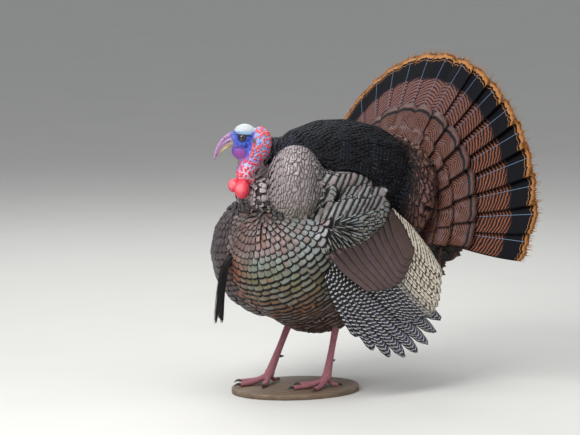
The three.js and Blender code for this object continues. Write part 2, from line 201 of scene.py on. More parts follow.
def arrays(mesh):
    """The places, quads and vertex normals of a mesh of quads."""
    places = np.empty(len(mesh.vertices) * 3)
    mesh.vertices.foreach_get("co", places)
    corners = np.empty(len(mesh.loops), int)
    mesh.loops.foreach_get("vertex_index", corners)
    normals = np.empty(len(mesh.vertices) * 3)
    mesh.vertex_normals.foreach_get("vector", normals)
    return places.reshape(-1, 3), corners.reshape(-1, 4), normals.reshape(-1, 3)


def solid(name):
    """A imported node's places, in the bird's millimetres, and its faces."""
    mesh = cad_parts[name].data
    places = np.empty(len(mesh.vertices) * 3)
    mesh.vertices.foreach_get("co", places)
    return (places.reshape(-1, 3) - ORIGIN) * 1000, [tuple(p.vertices) for p in mesh.polygons]


def surface(places, faces):
    """A tree that finds places on the faces."""
    return BVHTree.FromPolygons([Vector(p) for p in places], [tuple(f) for f in faces])


def new_piece(name, places, faces, finishes, facts=None, slots=None, patches=None):
    """Adds a mesh, in the bird's millimetres, to the model. The faces are an array of quads."""
    mesh = bpy.data.meshes.new(name)
    mesh.vertices.add(len(places))
    mesh.vertices.foreach_set("co", (places / 1000 + ORIGIN).astype(np.float32).ravel())
    mesh.loops.add(faces.size)
    mesh.loops.foreach_set("vertex_index", faces.astype(np.int32).ravel())
    mesh.polygons.add(len(faces))
    mesh.polygons.foreach_set("loop_start", np.arange(0, faces.size, 4, dtype=np.int32))
    for fact, values in (facts or {}).items():
        kind = "FLOAT_COLOR" if values.shape[1] == 4 else "FLOAT_VECTOR"
        layer = mesh.attributes.new(fact, kind, "POINT")
        key = "color" if kind == "FLOAT_COLOR" else "vector"
        layer.data.foreach_set(key, values.astype(np.float32).ravel())
    if patches is not None:
        layer = mesh.uv_layers.new(name="OFBake")
        layer.uv.foreach_set("vector", patches[faces.ravel()].astype(np.float32).ravel())
    mesh.update(calc_edges=True)
    for finish in finishes:
        mesh.materials.append(finish)
    if slots is not None:
        mesh.polygons.foreach_set("material_index", slots.astype(np.int32))
    mesh.polygons.foreach_set("use_smooth", np.ones(len(faces), bool))
    piece = bpy.data.objects.new(name, mesh)
    bpy.context.scene.collection.objects.link(piece)
    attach(piece, "root")
    return piece


def with_alpha(colours, alpha=1.0):
    """Colours with a fourth figure, as colour layers need."""
    colours = np.asarray(colours, float)
    return np.concatenate([colours, np.broadcast_to(alpha, colours.shape[:-1] + (1,))], axis=-1)


# ---------------------------------------------------------------- feathers
def feather_faces(rows, columns):
    """The quads of one closed vane, and which of its rows and columns each place is in."""
    top = np.arange(rows * columns).reshape(rows, columns)
    under = top.copy()
    inner = np.arange((rows - 2) * (columns - 2)).reshape(rows - 2, columns - 2)
    under[1:-1, 1:-1] = rows * columns + inner

    def quads(grid):
        a, b = grid[:-1, :-1], grid[:-1, 1:]
        c, d = grid[1:, 1:], grid[1:, :-1]
        return np.stack([a, b, c, d], axis=-1).reshape(-1, 4)

    row, column = np.divmod(np.arange(rows * columns), columns)
    inner_row, inner_column = np.divmod(np.arange((rows - 2) * (columns - 2)), columns - 2)
    return (
        np.vstack([quads(top), quads(under)[:, ::-1]]),
        np.concatenate([row, inner_row + 1]),
        np.concatenate([column, inner_column + 1]),
        np.concatenate([np.ones(rows * columns), -np.ones((rows - 2) * (columns - 2))]),
    )


def along_path(values, t):
    """Values at each station of n paths, read at the shares t of the way, shape (n, m)."""
    last = values.shape[1] - 1
    at = np.clip(t, 0, 1) * last
    low = np.minimum(at.astype(int), last - 1)
    share = (at - low)[..., None]
    n = np.arange(len(values))[:, None]
    return values[n, low] * (1 - share) + values[n, low + 1] * share


def feathers(paths, outs, length, half, look, shape, dice):
    """Closed vanes along n paths, as places, quads, facts about each place and patches.

    shape gives rows, columns, breadth(t), reach(v), cup, thick, twist, fray. look gives the tint, glow,
    band and hem of each feather, and the width of its band.
    """
    n = len(paths)
    rows, columns = shape["rows"], shape["columns"]
    quads, row, column, top = feather_faces(rows, columns)
    t = np.linspace(0, 1, rows) ** shape.get("crowd", 0.8)
    v = np.linspace(-1, 1, columns)
    fray = dice.uniform(-1, 0.4, (n, columns)) * shape.get("fray", 0.0)
    t_at, v_at = t[row], v[column]
    share = t_at * shape["reach"](v_at) + fray[:, column] * t_at**6
    centre = along_path(paths, share)
    out = unit(along_path(outs, share))
    along = unit(along_path(np.gradient(paths, axis=1), share))
    aside = unit(np.cross(along, out))
    breadth = half[:, None] * shape["breadth"](t_at)
    full = shape["thick"] * 0.5 * (1 - v_at**2) * np.minimum(1, 6 * (1 - t_at) * t_at + 0.2)
    rise = top * full + breadth * 0
    rise = rise - shape["cup"] * breadth * v_at**2 + shape.get("twist", 0) * v_at
    if "twists" in shape:
        rise = rise + shape["twists"][:, None] * v_at * t_at
    places = centre + aside * (breadth * v_at)[..., None] + out * rise[..., None]
    m = len(row)
    chance = np.broadcast_to(dice.random(n)[:, None], (n, m))
    facts = {
        "vane": np.stack([np.broadcast_to(v_at, (n, m)), np.broadcast_to(t_at, (n, m)), chance], -1),
        "size": np.stack(
            [np.broadcast_to(length[:, None], (n, m)), breadth, np.broadcast_to(look["width"][:, None], (n, m))],
            -1,
        ),
    }
    for key in ("tint", "glow", "band", "hem"):
        facts[key] = np.broadcast_to(look[key][:, None, :], (n, m, 4))
    facts = {key: value.reshape(n * m, -1) for key, value in facts.items()}
    faces = (quads[None] + (np.arange(n) * m)[:, None, None]).reshape(-1, 4)
    return places.reshape(-1, 3), faces, facts, patches(paths[:, 0], row, column, rows, columns)


def patches(roots, row, column, rows, columns):
    """A patch for each feather, in the order of the roots' places on an unwrap of the body.

    The unwrap is by bearing and slope from the body's middle. Ranks keep the patches apart.
    """
    n = len(roots)
    ray = unit(roots - np.array((0, 40, 330)))
    bearing, slope = np.arctan2(ray[:, 0], -ray[:, 1]), ray[:, 2]
    wide = max(1, int(math.ceil(math.sqrt(n))))
    tall = int(math.ceil(n / wide))
    order = np.argsort(bearing, kind="stable")
    cell = np.empty((n, 2))
    for k in range(wide):
        part = order[k * tall : (k + 1) * tall]
        part = part[np.argsort(slope[part], kind="stable")]
        cell[part, 0] = k
        cell[part, 1] = np.arange(len(part))
    u = (cell[:, :1] + 0.1 + 0.8 * (column / (columns - 1))) / wide
    w = (cell[:, 1:] + 0.1 + 0.8 * (row / (rows - 1))) / tall
    return np.stack([u, w], -1).reshape(-1, 2)


def gathered(batches):
    """Several batches of feathers as one, with their patches side by side."""
    places, faces, patch = [], [], []
    facts = {key: [] for key in batches[0][2]}
    start = 0
    for i, (p, f, g, uv) in enumerate(batches):
        places.append(p)
        faces.append(f + start)
        start += len(p)
        for key, value in g.items():
            facts[key].append(value)
        patch.append(np.stack([(uv[:, 0] + i) / len(batches), uv[:, 1]], -1))
    facts = {key: np.vstack(value) for key, value in facts.items()}
    return np.vstack(places), np.vstack(faces), facts, np.vstack(patch)


def rounded(power=2.4, cut=0.22):
    """The reach of a round-ended vane at each place across it."""
    return lambda v: 1 - cut * np.abs(v) ** power


def spoon(base=0.35, full=0.45):
    """The breadth of a vane along it, narrow at the root."""
    return lambda t: base + (1 - base) * soft(t, 0, full)


# ---------------------------------------------------------------- materials
class Shade:
    """A socket of a material. Arithmetic on it adds Math nodes."""

    def __init__(self, finish, socket):
        self.finish = finish
        self.socket = socket

    def math(self, operation, *values):
        inputs = dict(enumerate(values))
        return self.finish.node("ShaderNodeMath", {"operation": operation}, inputs)

    def __add__(self, other):
        return self.math("ADD", self, other)

    __radd__ = __add__

    def __sub__(self, other):
        return self.math("SUBTRACT", self, other)

    def __rsub__(self, other):
        return self.math("SUBTRACT", other, self)

    def __mul__(self, other):
        return self.math("MULTIPLY", self, other)

    __rmul__ = __mul__

    def __truediv__(self, other):
        return self.math("DIVIDE", self, other)

    def __abs__(self):
        return self.math("ABSOLUTE", self)

    def least(self, other):
        return self.math("MINIMUM", self, other)

    def most(self, other):
        return self.math("MAXIMUM", self, other)

    def wave(self):
        """The sine of the value, from 0 to 1."""
        return self.math("SINE", self) * 0.5 + 0.5

    def step(self, low, high):
        """A smooth step from 0 at low to 1 at high."""
        settings = {"interpolation_type": "SMOOTHSTEP"}
        inputs = {"Value": self, "From Min": low, "From Max": high}
        return self.finish.node("ShaderNodeMapRange", settings, inputs)

    def parts(self):
        """The three parts of a vector."""
        made = self.finish.made("ShaderNodeSeparateXYZ", {}, {0: self})
        return [Shade(self.finish, made.outputs[k]) for k in range(3)]


class Finish:
    """A procedural material on the Principled shader."""

    def __init__(self, name):
        self.material = bpy.data.materials.new(name)
        self.material.use_nodes = True
        self.tree = self.material.node_tree
        self.shader = self.tree.nodes["Principled BSDF"]

    def made(self, kind, settings, inputs):
        """A node of a kind, its settings first, then the values or links of its sockets."""
        node = self.tree.nodes.new(kind)
        for key, value in settings.items():
            setattr(node, key, value)
        for key, value in inputs.items():
            self.feed(node.inputs[key], value)
        return node

    def node(self, kind, settings, inputs, output=0):
        return Shade(self, self.made(kind, settings, inputs).outputs[output])

    def feed(self, socket, value):
        if isinstance(value, Shade):
            self.tree.links.new(value.socket, socket)
        elif socket.type == "RGBA" and len(value) == 3:
            socket.default_value = (*value, 1)
        else:
            socket.default_value = value

    def fact(self, name, output="Vector"):
        """An attribute of the mesh."""
        return self.node("ShaderNodeAttribute", {"attribute_name": name}, {}, output)

    def place(self):
        return self.node("ShaderNodeTexCoord", {}, {}, "Object")

    def cloud(self, scale, detail=3.0, where=None, roughness=0.55):
        """Noise from 0 to 1 over the piece."""
        inputs = {"Scale": scale, "Detail": detail, "Roughness": roughness}
        inputs["Vector"] = self.place() if where is None else where
        return self.node("ShaderNodeTexNoise", {}, inputs)

    def mix(self, share, a, b, mode="MIX"):
        """A colour from a to b by the share of b."""
        settings = {"data_type": "RGBA", "blend_type": mode, "clamp_factor": True}
        return self.node("ShaderNodeMix", settings, {0: share, 6: a, 7: b}, 2)

    def dim(self, colour, by):
        """A colour times a number."""
        return self.node("ShaderNodeVectorMath", {"operation": "SCALE"}, {0: colour, 3: by})

    def bump(self, height, distance, strength=0.6):
        inputs = {"Height": height, "Distance": distance, "Strength": strength}
        return self.node("ShaderNodeBump", {}, inputs)

    def done(self, **sockets):
        """Feeds the shader, with each socket's name in plain words, and gives the material."""
        for key, value in sockets.items():
            self.feed(self.shader.inputs[key.replace("_", " ").title().replace("Ior", "IOR")], value)
        return self.material


def barbs(finish, across, along, size, pitch):
    """The fine slanting lines of a vane, from 0 to 1."""
    length, breadth, _ = size
    return ((along * length + abs(across) * breadth * 0.8) * (6.283 / pitch)).wave()


def contour_finish(name="contour_feather", rough=0.4, metal=0.3, shine=0.4):
    """Body feathers: a glossy middle of two colours, a dark band at the end and a thin hem outside it."""
    f = Finish(name)
    across, along, chance = f.fact("vane").parts()
    size = f.fact("size").parts()
    length, breadth, width = size
    tint, glow, band, hem = (f.fact(key, "Color") for key in ("tint", "glow", "band", "hem"))
    hem_width = f.fact("hem", "Alpha") * 10
    side_share = f.fact("band", "Alpha") * 10
    from_tip = (1 - along) * length
    from_side = (1 - abs(across)) * breadth * side_share
    edge = from_tip.least(from_side)
    patchy = f.cloud(90.0, 2.0)
    in_band = 1 - (edge + (patchy - 0.5) * 1.6).step(width * 0.8, width * 1.2 + 0.2)
    in_hem = 1 - edge.step(hem_width * 0.6, hem_width + 0.05)
    lines = barbs(f, across, along, size, 1.7)
    turn = across * 0.5 + chance + (f.cloud(40.0, 2.0) - 0.5) * 1.8
    gloss = f.mix(turn.step(0.15, 0.95) * 0.7, tint, glow)
    # Painted shade: the vane darkens toward its root; the barbs' lines and the cloudy patches are the feather's
    # own markings.
    lit = (along.step(0.1, 0.75) * 0.4 + 0.6) * (0.84 + 0.22 * lines) * (0.75 + 0.5 * patchy)
    shaft = 1 - abs(across).step(0.0, 0.05)
    middle = f.dim(gloss, lit * (1 - 0.3 * shaft))
    colour = f.mix(in_hem, f.mix(in_band, middle, band), hem)
    return f.done(
        base_color=colour,
        roughness=rough + 0.2 * in_band + 0.1 * chance,
        metallic=(1 - in_band) * metal,
        normal=f.bump(lines, 0.0004, 0.35),
        specular_ior_level=shine,
    )


def rectrix_finish(name):
    """Tail feathers: wavy rust bars, a black band, and a buff end with a thin buff line before it."""
    sizes = bpy.context.scene.turkey
    f = Finish(name)
    across, along, chance = f.fact("vane").parts()
    length, breadth, width = f.fact("size").parts()
    tint = f.fact("tint", "Color")
    waver = f.cloud(60.0, 3.0) * 9.0 + chance * 9.0
    phase = (along * length + abs(across) * breadth * 0.3 + waver) * (6.283 / 8.8)
    swing = phase.wave()
    colour = f.mix(swing.step(0.3, 0.5) * width, f.dim(sizes.slate, 0.7), tint)
    plain_bar = swing.step(0.58, 0.82) * (1 - width)
    edged_bar = (swing.step(0.24, 0.36) - swing.step(0.46, 0.6)) * width
    colour = f.mix((plain_bar + edged_bar) * 0.9, colour, sizes.rust)
    colour = f.mix(along.step(0.82, 0.85), colour, sizes.tail_band)
    ragged = (f.cloud(420.0, 2.0) - 0.5) * 0.004
    rule = (along + ragged).step(0.954, 0.955) * (1 - (along + ragged).step(0.957, 0.958))
    end = (along + ragged).step(0.969, 0.974)
    colour = f.mix(rule * 0.8, colour, sizes.buff)
    # Painted shade: black along the vane's sides, where the gaps between the tail feathers lie in shadow.
    gap = abs(across).step(0.9, 0.99) * 0.85
    colour = f.mix(gap * (1 - end), colour, sizes.black)
    beside = (1 - abs(across - 0.04).step(0.0, 0.03)) * 0.6
    colour = f.mix(beside * (1 - end), colour, sizes.black)
    shaft_line = (1 - abs(across).step(0.006, 0.018)) * (1 - end)
    colour = f.mix(shaft_line * 0.8, colour, sizes.shaft)
    colour = f.mix(end, colour, f.mix(f.cloud(300.0, 3.0), sizes.buff, sizes.buff_dark))
    lines = barbs(f, across, along, (length, breadth, width), 1.9)
    return f.done(
        base_color=f.dim(colour, 0.82 + 0.28 * lines),
        roughness=0.6 + 0.1 * chance,
        normal=f.bump(lines, 0.0004, 0.3),
        specular_ior_level=0.12,
    )


def covert_finish():
    """Coverts of the tail, finely barred. The outer row ends in chestnut with a black bar across it."""
    sizes = bpy.context.scene.turkey
    f = Finish("covert_bars")
    across, along, chance = f.fact("vane").parts()
    length, breadth, outer = f.fact("size").parts()
    waver = f.cloud(75.0, 3.0) * 10.0 + chance * 9.0
    phase = (along * length + abs(across) * breadth * 0.55 + waver) * (6.283 / 6.6)
    ground = f.mix(f.cloud(45.0, 2.0).step(0.45, 0.7) * 0.6, f.dim(sizes.slate, 0.8), sizes.covert_grey)
    colour = f.mix(phase.wave().step(0.56, 0.84) * 0.85, ground, sizes.rust)
    plain = (along + (f.cloud(80.0, 2.0) - 0.5) * 0.04).step(0.86, 0.93) * outer
    colour = f.mix(plain * 0.7, colour, sizes.chestnut)
    dark = along.step(0.918, 0.926) * (1 - along.step(0.948, 0.956)) * outer
    colour = f.mix(dark, colour, sizes.black)
    rim = abs(across).step(0.9, 0.98) * 0.7
    colour = f.mix(rim, colour, sizes.black)
    colour = f.mix((1 - abs(across).step(0.01, 0.03)) * 0.4, colour, sizes.black)
    lines = barbs(f, across, along, (length, breadth, outer), 1.9)
    return f.done(
        base_color=f.dim(colour, 0.82 + 0.28 * lines),
        roughness=0.5 + 0.1 * chance,
        normal=f.bump(lines, 0.0004, 0.3),
        specular_ior_level=0.3,
    )


OUTER_VANE = 8.5


def quill_finish():
    """Wing quills. Black and white bars, or cream with brown dashes by the amount in the width.

    The outer vane has blocks of black and white, the inner one thin wavy bars on slate.
    """
    sizes = bpy.context.scene.turkey
    f = Finish("barred_quill")
    across, along, chance = f.fact("vane").parts()
    length, breadth, cream = f.fact("size").parts()
    run = along * length
    waver = f.cloud(70.0, 2.0) * 6.0 + chance * 8.0
    outward = across * (f.fact("band", "Alpha") * 2 - 1)
    inward = (1 - outward) * breadth
    outer = 1 - inward.step(OUTER_VANE - 0.3, OUTER_VANE + 0.3)
    blocks = ((run + inward * 0.3 + waver) * (6.283 / 13.0)).wave().step(0.74, 0.84)
    thin = ((run - inward * 0.5 + waver * 1.6) * (6.283 / 11.0)).wave().step(0.76, 0.9)
    blocked = f.mix(blocks, sizes.black, sizes.white_bar)
    wavy = f.mix(thin * 0.9, sizes.quill_slate, sizes.white_bar)
    barred = f.mix(outer, wavy, blocked)
    dashes = ((run * 0.8 + inward * 1.3 + waver * 1.4) * (6.283 / 12.0)).wave()
    dashes = dashes.step(0.5, 0.66) * f.cloud(150.0, 2.0).step(0.42, 0.5)
    pale = f.mix(dashes, sizes.cream, sizes.brown)
    colour = f.mix(cream, barred, pale)
    shaft = 1 - abs(inward - OUTER_VANE - 0.7).step(0.5, 0.9)
    colour = f.mix(shaft * 0.9, colour, f.mix(cream, sizes.black, sizes.brown))
    rim = 1 - inward.step(1.5, 2.6)
    colour = f.mix(rim, colour, f.mix(cream, sizes.black, sizes.brown))
    lines = barbs(f, across, along, (length, breadth, cream), 1.9)
    return f.done(
        base_color=f.dim(colour, 0.82 + 0.28 * lines),
        roughness=0.48,
        normal=f.bump(lines, 0.0004, 0.3),
        specular_ior_level=0.35,
    )


def hide_finish():
    """The downy skin under the coat, in the same markings as the coat over it."""
    f = Finish("downy_hide")
    colour = f.dim(f.fact("tone", "Color"), 0.45 + 0.3 * f.cloud(220.0, 5.0))
    return f.done(base_color=colour, roughness=0.9, normal=f.bump(f.cloud(300.0, 6.0), 0.002))


def bare_finish():
    """The bare, beaded skin of the head and neck."""
    f = Finish("bare_head")
    fine = f.cloud(900.0, 4.0)
    broad = f.cloud(160.0, 3.0)
    tinted = f.dim(f.fact("tone", "Color"), 0.8 + 0.25 * broad + 0.2 * fine)
    return f.done(
        base_color=tinted,
        roughness=0.42 + 0.15 * fine,
        normal=f.bump(fine, 0.0006, 0.5),
        subsurface_weight=0.08,
        subsurface_radius=(0.004, 0.0015, 0.001),
        specular_ior_level=0.5,
    )


def leg_finish():
    """Scaled skin of the shanks and toes."""
    f = Finish("leg_scales")
    cell = f.node("ShaderNodeTexVoronoi", {"feature": "DISTANCE_TO_EDGE"}, {"Scale": 190.0})
    edge = 1 - cell.step(0.02, 0.16)
    colour = f.mix(edge * 0.55, f.fact("tone", "Color"), bpy.context.scene.turkey.scute_line)
    colour = f.dim(colour, 0.8 + 0.4 * f.cloud(120.0))
    return f.done(
        base_color=colour, roughness=0.45, normal=f.bump(cell.step(0.0, 0.3), 0.0014, 0.8)
    )


def horn_finish(name, low, high, rough=0.35, scale=260.0):
    """Horn of the claws and spurs, streaked along the bird."""
    f = Finish(name)
    stretched = f.node(
        "ShaderNodeVectorMath", {"operation": "MULTIPLY"}, {0: f.place(), 1: (1.0, 0.35, 1.6)}
    )
    streak = f.cloud(scale, 4.0, stretched)
    colour = f.mix(streak.step(0.3, 0.7), low, high)
    return f.done(base_color=colour, roughness=rough, normal=f.bump(streak, 0.0003, 0.4))


def bill_finish():
    """Horn that turns yellow along the cutting edges, from the tone of each place."""
    f = Finish("bill_horn")
    streak = f.cloud(420.0, 4.0)
    colour = f.dim(f.fact("tone", "Color"), 0.75 + 0.5 * streak)
    return f.done(base_color=colour, roughness=0.32, normal=f.bump(streak, 0.0003, 0.4))


def eye_finish():
    """A wet brown iris round a black pupil."""
    f = Finish("wet_eye")
    fine = f.cloud(1500.0, 4.0)
    colour = f.dim(f.fact("tone", "Color"), 0.7 + 0.6 * fine)
    return f.done(base_color=colour, roughness=0.06, coat_weight=1.0, coat_roughness=0.03)


def bristle_finish():
    """Coarse black bristles of the beard."""
    f = Finish("beard_bristle")
    across, along, chance = f.fact("vane").parts()
    sizes = bpy.context.scene.turkey
    colour = f.mix(along.step(0.7, 1.0) * 0.5 + chance * 0.25, sizes.black, sizes.beard_end)
    colour = f.dim(colour, 0.8 + 0.5 * f.cloud(500.0, 3.0))
    return f.done(base_color=colour, roughness=0.38, specular_ior_level=0.5)


def board_finish():
    """Stained hardwood of the display board."""
    f = Finish("board_wood")
    stretched = f.node(
        "ShaderNodeVectorMath", {"operation": "MULTIPLY"}, {0: f.place(), 1: (9.0, 1.0, 9.0)}
    )
    grain = f.cloud(9.0, 6.0, stretched)
    pores = f.cloud(60.0, 4.0, stretched)
    sizes = bpy.context.scene.turkey
    colour = f.mix(grain.step(0.3, 0.7), sizes.wood_dark, sizes.wood_light)
    colour = f.dim(colour, 0.8 + 0.35 * pores)
    return f.done(base_color=colour, roughness=0.42 + 0.2 * pores, normal=f.bump(pores, 0.0004, 0.4))


# ---------------------------------------------------------------- sizes and colours
def colour(name, description, code):
    return FloatVectorProperty(
        name=name, description=description, default=tone(code), subtype="COLOR", size=3, min=0, max=1
    )


def distance(name, description, metres):
    return FloatProperty(
        name=name, description=description, default=metres, unit="LENGTH", subtype="DISTANCE", min=0
    )


class TurkeySettings(bpy.types.PropertyGroup):
    """Sizes and colours of the turkey."""

    coat_depth: distance("Coat depth", "How far the skin lies inside the coat", 0.009)
    tail_length: distance("Tail length", "From the tail root to the tip of a tail feather", 0.44)
    tail_count: IntProperty(name="Tail feathers", description="In the fan", default=18, min=8)
    beard_length: distance("Beard length", "From the breast to the tip of the beard", 0.165)
    black: colour("Black", "Bands of the body feathers", "0D0C10")
    slate: colour("Slate", "Dark ground of the barred feathers", "201F26")
    # Silver is a painted reflection: the pale lilac grey of the sky mirrored in the iridescent feathers of the
    # mantle, breast, shoulders and wings.
    silver_sky_reflection: colour("Silver", "Lilac grey of the mantle", "A69A9C")
    lilac: colour("Lilac", "Edges of the feathers of the far side", "7D7684")
    olive: colour("Olive", "Green gold of the breast and wing", "83805F")
    teal: colour("Teal", "Blue green gloss of the breast and wing", "8A9A9A")
    tail_band: colour("Tail band", "Dark band of the tail feathers", "0B0C13")
    covert_grey: colour("Covert grey", "Pale ground of the tail coverts", "5D5A66")
    quill_slate: colour("Quill slate", "Inner vanes of the long wing quills", "363749")
    buff_dark: colour("Dark buff", "Shade in the ends of the tail feathers", "A86A34")
    back_sheen: colour("Back sheen", "Fine blue lines of the black back", "7C86A2")
    copper: colour("Copper", "Lower breast", "7C4E38")
    ember: colour("Ember", "Red copper of the front of the breast", "AC5A3C")
    bronze: colour("Bronze", "Broad panel of the wing", "5F4D48")
    umber: colour("Umber", "Belly and thighs", "3B2C24")
    chestnut: colour("Chestnut", "Ends of the tail coverts", "5C3E3A")
    rust: colour("Rust", "Bars of the tail", "95583A")
    buff: colour("Buff", "Ends of the tail feathers", "BF8650")
    shaft: colour("Shaft", "Shafts of the tail feathers", "7F95B4")
    cream: colour("Cream", "Pale wing quills", "E6DDCB")
    brown: colour("Brown", "Dashes on the pale quills", "4E3A2A")
    white_bar: colour("White bar", "Bars of the dark quills", "C6C4C6")
    crown: colour("Crown", "Top of the head", "BEC5C8")
    face_blue: colour("Face blue", "Bare cheek", "2546B4")
    wattle: colour("Wattle", "Beads and lobes of the neck", "E2354C")
    throat: colour("Throat", "Purple of the throat", "6C44A0")
    snood: colour("Snood", "Hanging fold over the bill", "B48CB0")
    leg: colour("Leg", "Shanks and toes", "CC858F")
    scute_line: colour("Scute line", "Between the scales of the legs", "70384A")
    horn: colour("Horn", "Edges of the bill", "DCC88A")
    dark_horn: colour("Dark horn", "Claws and spurs", "2E2629")
    beard_end: colour("Beard end", "Worn ends of the bristles", "3A302C")
    wood_dark: colour("Dark wood", "Grain of the board", "6E5B49")
    wood_light: colour("Light wood", "Between the grain of the board", "8A7560")
    floor: colour("Floor", "The plain floor", "D9D8D4")


# ---------------------------------------------------------------- skin
def skin_colours(places):
    """The colours of the coat over places of the body, before each feather's own share."""
    s = bpy.context.scene.turkey
    x, y, z = places.T
    # Painted reflection: the coat turns silver higher up, where its iridescent feathers mirror the sky.
    base = blend(s.olive, s.silver_sky_reflection, soft(z, 330, 380))
    base = blend(base, s.teal, soft(z, 290, 340) * soft(y, -40, -90) * 0.6)
    base = blend(base, s.copper, soft(z, 300, 220) * 0.9)
    front = 0.855 * y + 0.52 * np.abs(x)
    base = blend(base, s.ember, soft(front, -106, -142) * soft(z, 372, 330) * soft(z, 215, 262) * 0.8)
    base = blend(base, tone("8E7470"), soft(y, -105, -150) * soft(z, 338, 366))
    base = blend(base, s.umber, soft(z, 195, 135) * 0.85)
    # Painted shadow: the coat at the front turns toward black in the fold under the mantle's lower edge.
    fold = soft(z, 402, 416) * soft(np.abs(x), 140, 120) * soft(y, -50, -84)
    base = blend(base, s.black, fold * 0.8)
    # Painted shade, partly the other iridescent colour of the far side: the front of the far side is darkened
    # toward umber and lilac grey.
    far = soft(x, -10, -40) * soft(y, -60, -120)
    base = blend(base, blend(s.umber, s.lilac, np.full(len(places), 0.35)), far * 0.8)
    return blend(base, s.black, soft(y, 180, 230))


def lobe_faces(at, half, **placing):
    """The places and faces of a lobe by itself."""
    shape = bmesh.new()
    add_lobe(shape, at, half, **placing)
    shape.verts.ensure_lookup_table()
    places = np.array([v.co[:] for v in shape.verts])
    faces = [tuple(v.index for v in face.verts) for face in shape.faces]
    shape.free()
    return places, faces


def ruff(side):
    """The feathered lobe between the neck and the mantle of one side."""
    return lobe_faces((side * 28, -117, 450), (37, 36, 46))


def collar():
    """The feathered foot of the neck, in the valley between the two ruffs."""
    return lobe_faces((0, -126, 456), (25, 26, 34))


def tail_head():
    """The fleshy root of the tail, between the rump and the fan."""
    return lobe_faces((0, -58, 16), (92, 44, 92), turn=TAIL, origin=TAIL_ROOT)


def body_skin(s):
    """The feathered body's skin, a coat's depth inside the solids."""
    shape = bmesh.new()
    names = ["trunk", "under_tail"] + [
        f"{part}_{side}" for part in ("mantle", "scapulars", "thigh") for side in ("left", "right")
    ]
    lobes = [solid(name) for name in names + ["wing_left_coverts", "wing_right_coverts"]]
    for places, faces in lobes + [ruff(1), ruff(-1), collar(), tail_head()]:
        verts = [shape.verts.new(p) for p in places]
        for face in faces:
            shape.faces.new([verts[k] for k in face])
    bmesh.ops.remove_doubles(shape, verts=shape.verts, dist=0.01)
    places, quads, normals = melted(shape, 5.5, 14)
    depth = s.coat_depth * 1000
    return places - normals * depth, quads, normals


def head_shapes():
    """The skull, throat, snood and neck, with lids and a brow, as overlapping shapes."""
    shape = bmesh.new()
    head = {"turn": HEAD, "origin": HEAD_AT}
    add_lobe(shape, (0, -13, 12), (20, 27, 24), **head)
    add_lobe(shape, (0, -18, -6), (18, 24, 18), (8, 0, 0), **head)
    add_lobe(shape, (0, 20, -11), (22, 28, 41), (-6, 0, 0), **head)
    add_lobe(shape, (0, -17, -30), (15, 27, 19), (-18, 0, 0), **head)
    add_lobe(shape, (0, -33, 2), (12.5, 14, 13), **head)
    for side in (-1, 1):
        add_lobe(shape, (side * 13.5, -20, 18.6), (6, 15, 4.6), (-12, 0, 0), **head)
        x, y, z = EYE
        angles = np.linspace(0, 2 * np.pi, 17)
        lid = [
            (side * (x + 2.0 - 0.8 * abs(math.cos(a))), y + 9.0 * math.cos(a), z + 7.6 * math.sin(a))
            for a in angles
        ]
        add_limb(shape, lid, [1.7] * 17, up=(1, 0, 0), steps=48, **head)
    snood = [(0, -33, 14), (0, -45, 12), (0, -58, 4), (0, -69, -8), (0, -76, -22), (0, -80.5, -36)]
    snood.append((0, -83, -47))
    add_limb(shape, snood, [7.5, 5.6, 4.4, 4.2, 4, 3.4, 2.2], up=(1, 0, 0), steps=48, **head)
    neck = [(-2, -118, 552), (-2, -130, 526), (-2, -143, 508), (-2, -146, 491), (0, -112, 466)]
    add_limb(shape, neck + [(0, -100, 446)], [23, 22, 19, 17, 5, 4], up=(1, 0, 0), steps=40)
    return shape


